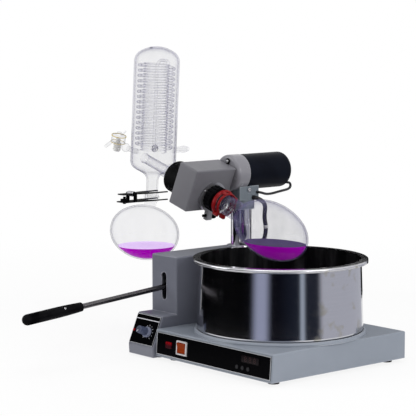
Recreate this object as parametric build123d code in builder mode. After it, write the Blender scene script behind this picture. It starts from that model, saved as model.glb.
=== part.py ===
from build123d import *
import os
from math import atan2, cos, degrees, pi, radians, sin, sqrt, tan

# A bench rotary evaporator: heating bath, lever-lift stand, and a tilted rotary head with flasks and condenser.
# Millimetres, +Z up, floor at z = 0, +Y to the back, +X to the bath end.

os.makedirs("parts", exist_ok=True)

# Layout: the pot axis, and the lift post seen from it
POT_X = 164.6
POT_Y = 109.4
POST_FROM_POT_X = -178.0
POST_FROM_POT_Y = 73.0
RUN_GAP = 0.5          # clearance of moving pieces that do not touch
SLIDE_GAP = 0.08       # radial clearance of a sliding or turning fit
SEAT_GAP = 0.3         # clearance between pieces set into each other

# Bath casing and its feet
CASING_RIGHT = 137.0
CASING_FRONT = 143.0
CASING_BACK = 155.0
CASING_BOTTOM = 6.5
CASING_TOP = 51.3
CASING_WALL = 2.0
CASING_EDGE = 2.5      # rounding of the outer edges
FRONT_LEAN = 3.1       # the front face comes forward by this much at its foot
FLOOR_PLATE = 1.5
BATH_FOOT_R = 9.0
FOOT_INSET = 22.0

# Steel pot and what heats it
POT_RIM_R = 144.0
POT_SHOULDER_R = 133.0
POT_BASE_R = 137.0
POT_TOP = 174.0
POT_RIM_H = 6.0
POT_WALL = 1.2
POT_LIFT = 1.5         # pot floor above the casing top
POT_FLOOR = 2.0
POT_CORNER = 8.0
SEAT_RING_W = 4.5
SEAT_RING_H = 6.0
POT_HOLE_R = 118.0
HEATER_R = 84.0
HEATER_ROD_R = 4.0
HEATER_PLATE_R = 108.0
HEATER_PLATE_T = 3.0
HEATER_LEG_R = 4.0

# Front panel, its switch, lamp, display and buttons, measured along the leaning face
PANEL_T = 1.0
PANEL_MARGIN_X = 2.5
PANEL_MARGIN_Z = 1.6
SWITCH_X = -77.5
SWITCH_W = 25.5
SWITCH_H = 23.5
SWITCH_FRAME = 2.6
SWITCH_PROUD = 2.2
SWITCH_DEPTH = 20.0
ROCKER_PROUD = 2.6
ROCKER_SWING = 7.0
LAMP_X = -111.0
LAMP_W = 15.0
LAMP_H = 11.0
LAMP_PROUD = 1.6
DISPLAY_X = 88.0
DISPLAY_RISE = 6.5
DISPLAY_W = 40.0
DISPLAY_H = 11.0
BUTTON_X = 58.0
BUTTON_PITCH = 13.0
BUTTON_RISE = -8.5
BUTTON_R = 3.2
BUTTON_PROUD = 1.4
BUTTON_TRAVEL = 0.8
BOARD_T = 1.6
BOARD_BEHIND = 9.0     # circuit board behind the panel's back

# Stand housing: control box in front, column housing behind
STAND_W = 66.0
STAND_BOTTOM = 3.0
STAND_WALL = 2.5
STAND_EDGE = 2.5
KICK_FRONT = 151.5     # foot of the control box, ahead of the pot axis
KICK_BULGE = 1.0
KICK_TOP = 19.0
BOX_TOP = 70.5
BOX_SHELF_FRONT = 130.5
COLUMN_FRONT = 101.0   # slotted face, ahead of the pot axis
COLUMN_BACK = 118.0
COLUMN_TOP = 167.0
STAND_FOOT_R = 8.0
SLOT_W = 12.5
SLOT_LOW = 91.8
SLOT_HIGH = 138.5
SLOT_NOTCH = 3.0

# Speed panel and its knob
SPEED_PANEL_T = 1.0
SPEED_PANEL_MARGIN = 1.6
KNOB_FROM_CENTRE_X = 9.5
KNOB_RISE = -3.5
KNOB_SKIRT_R = 9.0
KNOB_SKIRT_H = 5.0
KNOB_CAP_R = 7.0
KNOB_TIP_R = 6.2
KNOB_H = 21.0
KNOB_FLUTES = 14
POT_SHAFT_R = 3.0
POT_CAN_R = 11.0
POT_CAN_H = 14.0
SPEED_LAMP_R = 2.4
SPEED_LAMP_FROM_KNOB = -36.5

# Lever
LEVER_DROP = 4.85      # degrees the rod falls towards the grip
PIVOT_BEHIND_SLOT = 31.0
PIVOT_Z = 116.2
PIVOT_R = 4.0
HUB_R = 10.0
HUB_W = 22.0
ROD_R = 4.5
ROD_START = 12.0
SOCKET_R = 7.5
SOCKET_L = 22.0
ROD_IN_GRIP = 60.0
ROD_END = 205.0        # from the pivot to where the grip starts
GRIP_L = 114.0
GRIP_R = 9.0
GRIP_NECK_R = 7.5
ARM_L = 112.0          # from the pivot to the lift pin
ARM_RISE = 1.0         # degrees the inner arm rises from the pivot to the lift pin
ARM_W = 8.0
ARM_H = 14.0
LIFT_PIN_R = 4.0
PIN_PLAY = 1.0
PIN_WANDER = 7.0
EAR_T = 4.0

# Lift post and its bushes
POST_R = 18.0
POST_WALL = 3.0
POST_BOTTOM = 40.0
POST_BELOW_HEAD = 3.9  # top of the post below the gear head
BUSH_WALL = 4.0
BUSH_FLANGE = 3.0
BUSH_DEPTH = 13.0
GUIDE_TOP = 74.0
CLEVIS_H = 16.0
CLEVIS_WALL = 4.0

# Head bracket on the post, saddle for the gear head
BRACKET_R = 23.0
BRACKET_BOTTOM = 234.0
SADDLE_HALF = 22.0
SADDLE_TOP = 274.0
SADDLE_BACK = 94.0   # behind the pot axis
FIN_T = 3.0
FIN_TOP = 280.0

# Rotary drive: shaft axis crosses the post's plane at this height, tilted down to the flask
SHAFT_Z = 261.6
SHAFT_TILT = 16.5
MOTOR_Z = 297.4
BOX_L = 47.5
BOX_UP = 50.5
BOX_DOWN = 27.0
BOX_RAKE = 8.0         # degrees the box ends lean from square to the shaft
BOX_NOSE = 4.3         # front face ahead of the post plane, on the shaft axis
BOX_FRONT_Y = 48.0
BOX_BACK_Y = 38.0
BOX_WALL = 2.4
BOX_EDGE = 2.5
COVER_T = 4.0
GEAR_HEAD_R = 31.5
GEAR_HEAD_L = 27.5
GEAR_HEAD_EDGE = 6.0
GEAR_HEAD_GAP = 1.5
MOTOR_R = 31.0
MOTOR_L = 102.0
MOTOR_WALL = 5.0
MOTOR_CAP_EDGE = 10.0
WORM_L = 34.0
WORM_TURNS = 7
WORM_ADDENDUM = 1.0
WORM_DEDENDUM = 1.6
WHEEL_R = 22.0         # pitch radius
MESH_PLAY = 0.4
FLANK = 20.0
WORM_BOSS_R = 8.0
MOTOR_SHAFT_R = 4.0
ROTOR_R = 22.0
ROTOR_START = 86.0
ROTOR_L = 54.0
WHEEL_TEETH = 32
WHEEL_W = 8.0
HOLLOW_R = 14.5
HOLLOW_BORE = 10.0
HOLLOW_BACK = 56.0     # behind the gear centre
CONE_L = 26.0
CONE_TIP_R = 13.2
BEARING_R = 19.5
BEARING_W = 5.0
BEARING_FRONT = 4.5    # near faces of the two bearings, ahead of and behind the gear centre
BEARING_BACK = 48.0

# Flask nut, its collar and the thumb screw below
NUT_R = 22.5
NUT_L = 14.5
COLLAR_R = 27.0
COLLAR_FRONT = 10.5
COLLAR_LIP = 1.0
LUG_W = 12.0
LUG_DROP = 39.5
LUG_T = 8.0
THUMB_R = 6.5
THUMB_L = 8.0
THUMB_STEM_R = 2.5
NUT_FLUTES = 18

# Evaporating flask, its clip and its liquid
NECK_R = 17.0
NECK_WALL = 2.2
NECK_START = 30.5
CLIP_START = 32.0
CLIP_L = 18.0
CLIP_WALL = 3.2
CLIP_RIB = 2.5
CLIP_RIB_L = 4.0
CLIP_OPEN = 60.0       # degrees left open at the front
CLIP_EAR_R = 3.4
BULB_CENTRE = 161.0
BULB_LONG = 78.0
BULB_R = 46.0
GLASS = 2.2
LIQUID_Z = 196.0
LIQUID_GAP = 0.3

# Condenser union and condenser
UNION_R = 28.5
UNION_END = 95.0       # behind the gear centre
UNION_WALL = 4.0
ARM_R = 12.5
ARM_FLANGE_R = 17.0
ARM_FLANGE_T = 7.0
CONDENSER_FROM_POST = -154.0
CONDENSER_LEAN = 3.8
JACKET_R = 40.5
JACKET_TOP = 514.0
JACKET_DOME = 27.0
DOME_ARC = 21.0        # radius of the dome's edge
JACKET_FOOT = 4.0      # from the arm's axis up to where the straight part starts
JACKET_NECK = 33.0     # from the arm's axis down to where the neck starts
JACKET_NECK_R = 10.5
JOINT_Z = 247.5
BALL_R = 12.0
BALL_BORE = 8.0
CUP_GAP = 0.3
CUP_WALL = 2.0
CUP_TOP = 1.5
COIL_OUTER_R = 31.0
COIL_TUBE_R = 2.6
COIL_PITCH = 9.3
COIL_TURNS = 16
COIL_START = 28.0      # first turn above the arm's axis
RETURN_R = 8.0         # how far the return tube stands off the axis
NIPPLE_R = 5.0
NIPPLE_BARB = 1.2
NIPPLE_L = 40.0
NIPPLE_BORE = 2.6
NIPPLE_UP = 21.0       # above the arm's axis
SECOND_NIPPLE_TURN = 49.0   # degrees from the first one, away from the drive

# Stopcock at the condenser's side
COCK_REACH = 100.6     # barrel from the condenser's axis
COCK_Z = 344.6
COCK_TILT = 16.0
COCK_BARREL_R = 13.0
COCK_BARREL_L = 15.0
COCK_BULB_REACH = 79.0
COCK_BULB_Z = 330.0
COCK_BULB_R = 8.0
COCK_TUBE_R = 4.5
COCK_ROOT_Z = 322.0
COCK_CAP_R = 4.5
COCK_CAP_L = 5.5
COCK_TIP_R = 3.0
COCK_TIP_UP = 4.0
COCK_TIP_L = 44.0
COCK_TIP_DROP = 27.0
CAPILLARY_R = 1.3
CAPILLARY_L = 27.0
CAPILLARY_RISE = 34.0
COCK_STUB = 8.0
BORE_SHARE = 0.5
KEY_STEM_R = 4.0
KEY_GRIP_R = 7.0
KEY_GRIP_L = 15.0
KEY_RIBS = 4

# Ball-joint clamp and receiving flask
CLAMP_T = 2.0
CLAMP_UP = 6.2         # underside of the upper fork above the ball's centre
CLAMP_DOWN = 5.3       # top of the lower fork below it
CLAMP_TIP = 24.0
CLAMP_TAIL = 70.0
CLAMP_W = 32.0
CLAMP_TAIL_W = 18.0
CLAMP_NECK_GAP = 1.4
HINGE_BACK = 46.0
HINGE_PIN_R = 1.6
HINGE_BARREL_R = 3.2
LUG_PLATE = 2.5
STUD_BACK = 62.0
STUD_R = 2.5
STUD_TOP = 3.0         # above the ball's centre
WHEEL_NUT_R = 7.0
WHEEL_NUT_H = 4.0
FLASK_HANG = 66.8
FLASK_LEAN = 11.4
FLASK_HEADING = 227.5  # degrees from +X of the way the flask leans
FLASK_R = 62.3
FLASK_HALF = 49.0
FLASK_SIDE_ARC = 42.0  # radius of the flask's side, seen across its axis
FLASK_LIQUID_Z = 158.5

# Leads
LEAD_R = 2.2
LEAD_SIDE = 18.0       # motor lead from the motor's axis
LEAD_LOW = 22.9        # its exit below that axis
LEAD_INSET = 4.0
LEAD_OUT = 9.0
LEAD_DROP = 11.5
LEAD_AWAY = 4.0
LEAD_UNDER = 18.0
LEAD_SAG = 17.5        # lowest point below the exit
CABLE_R = 3.8
CABLE_OUT = 12.0       # head cable out of the bracket's side
CABLE_BOW = 9.0        # how far it bows to the back on its way down
CABLE_IN = 27.0        # how far it goes into the stand
CABLE_BELOW = 9.0      # its exit below and ahead of the motor lead's
GROMMET_WALL = 2.5

# Positions and directions that many pieces share
post_x = POT_X + POST_FROM_POT_X
post_y = POT_Y + POST_FROM_POT_Y
stand_left = post_x - STAND_W / 2
stand_right = post_x + STAND_W / 2
casing_right = POT_X + CASING_RIGHT
casing_length = casing_right - stand_right
casing_back = POT_Y + CASING_BACK
casing_front_top = POT_Y - CASING_FRONT
casing_front_foot = casing_front_top - FRONT_LEAN
casing_height = CASING_TOP - CASING_BOTTOM
casing_floor = CASING_BOTTOM + FLOOR_PLATE
tilt = radians(SHAFT_TILT)
shaft_dir = Vector(cos(tilt), 0, -sin(tilt))
shaft_up = Vector(sin(tilt), 0, cos(tilt))
gear_centre = Vector(post_x, POT_Y, SHAFT_Z)
shaft_axis = Axis(gear_centre, shaft_dir)


def on_shaft(along, up=0.0, across=0.0):
    """A point of the head, given along the shaft, square to it upwards, and across it."""
    return gear_centre + shaft_dir * along + shaft_up * up + Vector(0, across, 0)


def axial_plane(origin, along):
    """A plane through an axis: local x is the radius, local y runs along the axis."""
    across = along.cross(Vector(1, 0, 0)).normalized()
    return Plane(origin, x_dir=along.cross(across), z_dir=across)


def save(piece, name):
    """Labels a finished piece and writes it."""
    piece.label = name
    export_step(piece, f"parts/{name}.step")


def half_oval(centre, radius, half, side_arc):
    """Half of an oval on the axis: a side arc between two flatter cap arcs, closed along the axis."""
    cap = ((radius - side_arc) ** 2 + half ** 2 - side_arc ** 2) / (2 * (half - side_arc))
    turn = degrees(atan2(cap - half, radius - side_arc))
    CenterArc((0, centre + cap - half), cap, -90, 90 - turn)
    CenterArc((radius - side_arc, centre), side_arc, -turn, 2 * turn)
    CenterArc((0, centre + half - cap), cap, turn, 90 - turn)
    Line((0, centre + half), (0, centre - half))


def lead_path(*points):
    """A lead's route: straight runs joined by the widest arcs that fit between its points."""
    radii = []
    for before, here, after in zip(points, points[1:], points[2:]):
        come = Vector(here) - Vector(before)
        leave = Vector(after) - Vector(here)
        half_turn = radians(come.get_angle(leave)) / 2
        radii.append(0.45 * min(come.length, leave.length) / tan(half_turn))
    FilletPolyline(*points, radius=radii)


shaft_side = axial_plane(gear_centre, shaft_dir)
shaft_cross = Plane(gear_centre, x_dir=(0, 1, 0), z_dir=shaft_dir)

# Bath casing: a folded sheet box with a leaning front, open below
lean = atan2(FRONT_LEAN, casing_height)
front_plane = Plane(
    (POT_X, casing_front_top - FRONT_LEAN / 2, (CASING_TOP + CASING_BOTTOM) / 2),
    x_dir=(1, 0, 0),
    z_dir=(0, -cos(lean), sin(lean)),
)
face_height = sqrt(FRONT_LEAN ** 2 + casing_height ** 2)
switch_body_w = SWITCH_W - SWITCH_FRAME
switch_body_h = SWITCH_H - SWITCH_FRAME
button_places = [(BUTTON_X + BUTTON_PITCH * k, BUTTON_RISE) for k in range(3)]
front_cut = CASING_WALL * 3

with BuildPart() as bath_casing:
    with BuildSketch(Plane.YZ.offset(stand_right)):
        with BuildLine():
            Polyline(
                (casing_front_foot, CASING_BOTTOM),
                (casing_front_top, CASING_TOP),
                (casing_back, CASING_TOP),
                (casing_back, CASING_BOTTOM),
                close=True,
            )
        make_face()
    extrude(amount=casing_length)
    outer_edges = [e for e in bath_casing.edges() if e.center().Z > CASING_BOTTOM + CASING_EDGE]
    fillet([e for e in outer_edges if e.center().X > stand_right + CASING_EDGE], CASING_EDGE)
    with BuildSketch(Plane.YZ.offset(stand_right + CASING_WALL)):
        with BuildLine():
            Polyline(
                (casing_front_foot + CASING_WALL, CASING_BOTTOM),
                (casing_front_top + CASING_WALL, CASING_TOP - CASING_WALL),
                (casing_back - CASING_WALL, CASING_TOP - CASING_WALL),
                (casing_back - CASING_WALL, CASING_BOTTOM),
                close=True,
            )
        make_face()
    extrude(amount=casing_length - 2 * CASING_WALL, mode=Mode.SUBTRACT)
    with BuildSketch(Plane.XY.offset(CASING_TOP)):
        with Locations((POT_X, POT_Y)):
            Circle(POT_HOLE_R)
    extrude(amount=-2 * CASING_WALL, mode=Mode.SUBTRACT)
    with BuildSketch(front_plane):
        with Locations((SWITCH_X, 0)):
            Rectangle(switch_body_w + 2 * SEAT_GAP, switch_body_h + 2 * SEAT_GAP)
        with Locations((DISPLAY_X, DISPLAY_RISE)):
            Rectangle(DISPLAY_W - 2 * CASING_WALL, DISPLAY_H - 2 * CASING_WALL)
        with Locations(*button_places):
            Circle(BUTTON_R + RUN_GAP)
    extrude(amount=front_cut, both=True, mode=Mode.SUBTRACT)
save(bath_casing.part, "bath_casing")

with BuildPart() as bath_floor_plate:
    plate_length = casing_length - 2 * CASING_WALL - 2 * SEAT_GAP
    plate_depth = casing_back - casing_front_top - 2 * CASING_WALL - 2 * SEAT_GAP
    plate_centre = (
        (stand_right + casing_right) / 2,
        (casing_back + casing_front_top) / 2,
        CASING_BOTTOM + FLOOR_PLATE / 2,
    )
    with Locations(plate_centre):
        Box(plate_length, plate_depth, FLOOR_PLATE)
save(bath_floor_plate.part, "bath_floor_plate")

# Steel pot with a turned-down rim, standing in a ring on the casing
pot_bottom = CASING_TOP + POT_LIFT
pot_side = Plane((POT_X, POT_Y, 0), x_dir=(1, 0, 0), z_dir=(0, -1, 0))
pot_axis = Axis((POT_X, POT_Y, 0), (0, 0, 1))
with BuildPart() as bath_pot:
    with BuildSketch(pot_side):
        with BuildLine():
            flat_end = (POT_BASE_R - POT_CORNER, pot_bottom)
            wall_foot = (POT_BASE_R, pot_bottom + POT_CORNER)
            inner_foot = (POT_BASE_R - POT_WALL, pot_bottom + POT_CORNER)
            inner_flat = (POT_BASE_R - POT_CORNER, pot_bottom + POT_FLOOR)
            Line((0, pot_bottom), flat_end)
            RadiusArc(flat_end, wall_foot, -POT_CORNER)
            Polyline(
                wall_foot,
                (POT_SHOULDER_R, POT_TOP - POT_WALL),
                (POT_RIM_R - POT_WALL, POT_TOP - POT_WALL),
                (POT_RIM_R - POT_WALL, POT_TOP - POT_RIM_H),
                (POT_RIM_R, POT_TOP - POT_RIM_H),
                (POT_RIM_R, POT_TOP),
                (POT_SHOULDER_R - POT_WALL, POT_TOP),
                inner_foot,
            )
            RadiusArc(inner_foot, inner_flat, POT_CORNER - POT_WALL)
            Polyline(inner_flat, (0, pot_bottom + POT_FLOOR), (0, pot_bottom))
        make_face()
    revolve(axis=pot_axis)
    rim_edges = bath_pot.edges().filter_by(GeomType.CIRCLE).group_by(Axis.Z)[-1].sort_by(SortBy.RADIUS)
    fillet(rim_edges[-1], POT_WALL * 0.8)
save(bath_pot.part, "bath_pot")

with BuildPart() as pot_seat_ring:
    with BuildSketch(pot_side):
        with BuildLine():
            ring_in = POT_BASE_R + SEAT_GAP
            ring_foot = POT_BASE_R - POT_CORNER
            Polyline(
                (ring_foot, CASING_TOP),
                (ring_in + SEAT_RING_W, CASING_TOP),
                (ring_in + SEAT_RING_W, CASING_TOP + SEAT_RING_H / 2),
                (ring_in + SEAT_RING_W / 2, CASING_TOP + SEAT_RING_H),
                (ring_in, CASING_TOP + SEAT_RING_H),
                (ring_in, pot_bottom),
                (ring_foot, pot_bottom),
                close=True,
            )
        make_face()
    revolve(axis=pot_axis)
save(pot_seat_ring.part, "pot_seat_ring")

# Heater under the pot: a ring element on a plate that stands on legs
element_z = pot_bottom - HEATER_ROD_R
plate_top = element_z - HEATER_ROD_R
with BuildPart() as heater_plate:
    with BuildSketch(Plane.XY.offset(plate_top)):
        with Locations((POT_X, POT_Y)):
            Circle(HEATER_PLATE_R)
    extrude(amount=-HEATER_PLATE_T)
    with BuildSketch(Plane.XY.offset(casing_floor)):
        with Locations((POT_X, POT_Y)):
            with PolarLocations(HEATER_R, 3, start_angle=90):
                Circle(HEATER_LEG_R)
    extrude(until=Until.NEXT)
save(heater_plate.part, "heater_plate")

with BuildPart() as heating_element:
    with BuildSketch(pot_side):
        with Locations((HEATER_R, element_z)):
            Circle(HEATER_ROD_R - SEAT_GAP / 2)
    revolve(axis=pot_axis)
save(heating_element.part, "heating_element")

# Black front panel with its switch, lamp, display window and set buttons
panel_w = casing_length - 2 * PANEL_MARGIN_X
panel_h = face_height - 2 * CASING_EDGE - 2 * PANEL_MARGIN_Z
panel_mid = (stand_right + casing_right) / 2 - POT_X
with BuildPart() as front_panel:
    with BuildSketch(front_plane):
        with Locations((panel_mid, 0)):
            Rectangle(panel_w, panel_h)
        with Locations((SWITCH_X, 0)):
            Rectangle(switch_body_w + 2 * SEAT_GAP, switch_body_h + 2 * SEAT_GAP, mode=Mode.SUBTRACT)
        with Locations((DISPLAY_X, DISPLAY_RISE)):
            Rectangle(DISPLAY_W - 2 * CASING_WALL, DISPLAY_H - 2 * CASING_WALL, mode=Mode.SUBTRACT)
        with Locations(*button_places):
            Circle(BUTTON_R + SLIDE_GAP, mode=Mode.SUBTRACT)
    extrude(amount=PANEL_T)
save(front_panel.part, "front_panel")

panel_face = front_plane.offset(PANEL_T)
with BuildPart() as power_lamp:
    with BuildSketch(panel_face):
        with Locations((LAMP_X, 0)):
            RectangleRounded(LAMP_W, LAMP_H, LAMP_H / 5)
    extrude(amount=LAMP_PROUD, taper=12)
save(power_lamp.part, "power_lamp")

with BuildPart() as display_window:
    with BuildSketch(panel_face):
        with Locations((DISPLAY_X, DISPLAY_RISE)):
            RectangleRounded(DISPLAY_W, DISPLAY_H, DISPLAY_H / 8)
    extrude(amount=PANEL_T)
save(display_window.part, "display_window")

rocker_w = SWITCH_W - 2 * SWITCH_FRAME
rocker_h = SWITCH_H - 2 * SWITCH_FRAME
with BuildPart() as switch_bezel:
    with BuildSketch(panel_face):
        with Locations((SWITCH_X, 0)):
            RectangleRounded(SWITCH_W, SWITCH_H, SWITCH_FRAME / 2)
    extrude(amount=SWITCH_PROUD, taper=8)
    with BuildSketch(panel_face):
        with Locations((SWITCH_X, 0)):
            Rectangle(switch_body_w, switch_body_h)
    extrude(amount=-SWITCH_DEPTH)
    with BuildSketch(panel_face.offset(SWITCH_PROUD)):
        with Locations((SWITCH_X, 0)):
            Rectangle(rocker_w, rocker_h)
    extrude(amount=-(SWITCH_DEPTH - SWITCH_FRAME), mode=Mode.SUBTRACT)
save(switch_bezel.part, "switch_bezel")

# The rocker turns about a pin along X and stands pressed at its lower end
rocker_r = rocker_h / 2 - RUN_GAP
rocker_pin = panel_face.offset(SWITCH_PROUD - ROCKER_PROUD).from_local_coords((SWITCH_X, 0, 0))
swing = radians(ROCKER_SWING)
rocker_up = front_plane.y_dir * cos(swing) + front_plane.z_dir * sin(swing)
rocker_plane = Plane(rocker_pin, x_dir=rocker_up, z_dir=(1, 0, 0))
with BuildPart() as switch_rocker:
    with BuildSketch(rocker_plane):
        Circle(rocker_r)
        with BuildLine():
            Polyline(
                (0, ROCKER_PROUD),
                (rocker_r, ROCKER_PROUD + rocker_r * tan(swing)),
                (rocker_r, -rocker_r),
                (-rocker_r, -rocker_r),
                (-rocker_r, ROCKER_PROUD + rocker_r * tan(swing)),
                close=True,
            )
        make_face(mode=Mode.INTERSECT)
    extrude(amount=rocker_w / 2 - SEAT_GAP, both=True)
save(switch_rocker.part, "switch_rocker")

board_front = -(CASING_WALL + BOARD_BEHIND)
for number, place in enumerate(button_places, start=1):
    with BuildPart() as set_button:
        with BuildSketch(panel_face.offset(BUTTON_PROUD)):
            with Locations(place):
                Circle(BUTTON_R)
        extrude(amount=board_front + BUTTON_TRAVEL + RUN_GAP - BUTTON_PROUD - PANEL_T)
        fillet(set_button.edges().sort_by(Axis.Y)[0], BUTTON_PROUD / 4)
    save(set_button.part, f"set_button_{number}")

with BuildPart() as control_board:
    with BuildSketch(front_plane.offset(board_front)):
        with Locations((DISPLAY_X - DISPLAY_W / 4, -CASING_EDGE)):
            Rectangle(DISPLAY_W * 2, casing_height - 4 * CASING_EDGE)
    extrude(amount=-BOARD_T)
    with BuildSketch(front_plane.offset(board_front)):
        with Locations((DISPLAY_X, DISPLAY_RISE)):
            Rectangle(DISPLAY_W - 4 * CASING_WALL, DISPLAY_H - 3 * CASING_WALL)
    extrude(amount=-board_front)
save(control_board.part, "control_board")

# Stand: one folded housing, low and sloped in front, tall behind, open below
kick_y = POT_Y - KICK_FRONT
shelf_y = POT_Y - BOX_SHELF_FRONT
column_y = POT_Y - COLUMN_FRONT
column_back = POT_Y + COLUMN_BACK
pivot = Vector(post_x, column_y + PIVOT_BEHIND_SLOT, PIVOT_Z)
bush_hole_r = POST_R + SLIDE_GAP + BUSH_WALL
cable_x = post_x + POST_R
cable_y = post_y + POST_R + 2 * CABLE_R + GROMMET_WALL * 2


def stand_profile(inset):
    """Side outline of the stand, drawn in by the sheet's thickness; the foot stays open."""
    return [
        (kick_y + inset, STAND_BOTTOM),
        (kick_y - KICK_BULGE + inset, KICK_TOP),
        (shelf_y + inset, BOX_TOP - inset),
        (column_y + inset, BOX_TOP - inset),
        (column_y + inset, COLUMN_TOP - inset),
        (column_back - inset, COLUMN_TOP - inset),
        (column_back - inset, STAND_BOTTOM),
    ]


speed_slope = atan2(shelf_y - kick_y + KICK_BULGE, BOX_TOP - KICK_TOP)
speed_length = sqrt((shelf_y - kick_y + KICK_BULGE) ** 2 + (BOX_TOP - KICK_TOP) ** 2)
speed_plane = Plane(
    (post_x, (shelf_y + kick_y - KICK_BULGE) / 2, (BOX_TOP + KICK_TOP) / 2),
    x_dir=(1, 0, 0),
    z_dir=(0, -cos(speed_slope), sin(speed_slope)),
)

with BuildPart() as stand_housing:
    with BuildSketch(Plane.YZ.offset(stand_left)):
        with BuildLine():
            Polyline(*stand_profile(0), close=True)
        make_face()
    extrude(amount=STAND_W)
    sheet_edges = [e for e in stand_housing.edges() if e.center().Z > STAND_BOTTOM + STAND_EDGE]
    inner_corner = (column_y, BOX_TOP)
    fillet(
        [e for e in sheet_edges if (e.center().Y - inner_corner[0], e.center().Z - inner_corner[1]) != (0, 0)],
        STAND_EDGE,
    )
    with BuildSketch(Plane.YZ.offset(stand_left + STAND_WALL)):
        with BuildLine():
            Polyline(*stand_profile(STAND_WALL), close=True)
        make_face()
    extrude(amount=STAND_W - 2 * STAND_WALL, mode=Mode.SUBTRACT)
    with BuildSketch(Plane.XZ.offset(-column_y)):
        with Locations((post_x, (SLOT_LOW + SLOT_HIGH) / 2)):
            SlotOverall(SLOT_HIGH - SLOT_LOW, SLOT_W, rotation=90)
        with Locations((post_x - SLOT_NOTCH, SLOT_HIGH - SLOT_W / 2)):
            Circle(SLOT_W / 2 - SLOT_NOTCH / 2)
    extrude(amount=2 * STAND_WALL, both=True, mode=Mode.SUBTRACT)
    with BuildSketch(Plane.XY.offset(COLUMN_TOP)):
        with Locations((post_x, post_y)):
            Circle(bush_hole_r + SEAT_GAP)
        with Locations((cable_x, cable_y)):
            Circle(CABLE_R + 2 * RUN_GAP + GROMMET_WALL)
    extrude(amount=-2 * STAND_WALL, mode=Mode.SUBTRACT)
    with BuildSketch(speed_plane):
        with Locations((KNOB_FROM_CENTRE_X, KNOB_RISE)):
            Circle(POT_SHAFT_R + 2 * RUN_GAP)
    extrude(amount=2 * STAND_WALL, both=True, mode=Mode.SUBTRACT)
    with BuildSketch(speed_plane.offset(-STAND_WALL)):
        with Locations((KNOB_FROM_CENTRE_X, KNOB_RISE)):
            Circle(POT_CAN_R + SEAT_GAP)
    extrude(amount=-POT_CAN_H, mode=Mode.SUBTRACT)
save(stand_housing.part, "stand_housing")

with BuildPart() as stand_floor_plate:
    stand_plate_front = kick_y + STAND_WALL + SEAT_GAP
    stand_plate_back = column_back - STAND_WALL - SEAT_GAP
    with BuildSketch(Plane.XY.offset(STAND_BOTTOM)):
        with Locations((post_x, (stand_plate_front + stand_plate_back) / 2)):
            Rectangle(STAND_W - 2 * STAND_WALL - 2 * SEAT_GAP, stand_plate_back - stand_plate_front)
    extrude(amount=FLOOR_PLATE)
save(stand_floor_plate.part, "stand_floor_plate")

with BuildPart() as rubber_feet:
    with BuildSketch():
        with Locations(plate_centre[:2]):
            with GridLocations(
                casing_length - 2 * FOOT_INSET, casing_back - casing_front_top - 2 * FOOT_INSET, 2, 2
            ):
                Circle(BATH_FOOT_R)
    extrude(amount=CASING_BOTTOM, taper=-4)
    with BuildSketch():
        with Locations((post_x, (stand_plate_front + stand_plate_back) / 2)):
            with GridLocations(
                STAND_W - 4 * STAND_FOOT_R, stand_plate_back - stand_plate_front - 2 * FOOT_INSET, 2, 2
            ):
                Circle(STAND_FOOT_R)
    extrude(amount=STAND_BOTTOM, taper=-4)
save(rubber_feet.part, "rubber_feet")

# Speed control on the sloped panel
with BuildPart() as speed_panel:
    with BuildSketch(speed_plane):
        Rectangle(
            STAND_W - 2 * STAND_EDGE - 2 * SPEED_PANEL_MARGIN,
            speed_length - 2 * STAND_EDGE - 2 * SPEED_PANEL_MARGIN,
        )
        with Locations((KNOB_FROM_CENTRE_X, KNOB_RISE)):
            Circle(POT_SHAFT_R + 2 * RUN_GAP, mode=Mode.SUBTRACT)
    extrude(amount=SPEED_PANEL_T)
save(speed_panel.part, "speed_panel")

with BuildPart() as speed_lamp:
    with BuildSketch(speed_plane.offset(SPEED_PANEL_T)):
        with Locations((KNOB_FROM_CENTRE_X + SPEED_LAMP_FROM_KNOB, KNOB_RISE)):
            Circle(SPEED_LAMP_R)
    extrude(amount=SPEED_LAMP_R * 0.8)
    fillet(speed_lamp.edges().sort_by(Axis.Y)[0], SPEED_LAMP_R * 0.6)
save(speed_lamp.part, "speed_lamp")

knob_foot = speed_plane.offset(SPEED_PANEL_T).from_local_coords((KNOB_FROM_CENTRE_X, KNOB_RISE, 0))
knob_axis = Axis(knob_foot, speed_plane.z_dir)
spindle_in = SPEED_PANEL_T + STAND_WALL + POT_CAN_H / 2
with BuildPart() as speed_potentiometer:
    with BuildSketch(speed_plane.offset(-STAND_WALL)):
        with Locations((KNOB_FROM_CENTRE_X, KNOB_RISE)):
            Circle(POT_CAN_R)
    extrude(amount=-POT_CAN_H)
    with BuildSketch(speed_plane.offset(-STAND_WALL)):
        with Locations((KNOB_FROM_CENTRE_X, KNOB_RISE)):
            Circle(POT_SHAFT_R + SLIDE_GAP)
    extrude(amount=-POT_CAN_H / 2 - RUN_GAP, mode=Mode.SUBTRACT)
save(speed_potentiometer.part, "speed_potentiometer")

with BuildPart() as speed_knob:
    with BuildSketch(axial_plane(knob_foot, speed_plane.z_dir)):
        with BuildLine():
            Polyline(
                (0, -spindle_in),
                (POT_SHAFT_R, -spindle_in),
                (POT_SHAFT_R, RUN_GAP),
                (KNOB_SKIRT_R, RUN_GAP),
                (KNOB_SKIRT_R, KNOB_SKIRT_H),
                (KNOB_CAP_R, KNOB_SKIRT_H + KNOB_SKIRT_R - KNOB_CAP_R),
                (KNOB_TIP_R, KNOB_H),
                (0, KNOB_H),
                close=True,
            )
        make_face()
    revolve(axis=knob_axis)
    with BuildSketch(speed_plane.offset(SPEED_PANEL_T + KNOB_H)):
        with Locations((KNOB_FROM_CENTRE_X, KNOB_RISE)):
            with PolarLocations(KNOB_CAP_R, KNOB_FLUTES):
                Circle(KNOB_CAP_R / 8)
    extrude(amount=KNOB_SKIRT_H + KNOB_SKIRT_R - KNOB_CAP_R - KNOB_H, mode=Mode.SUBTRACT)
save(speed_knob.part, "speed_knob")

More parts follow.
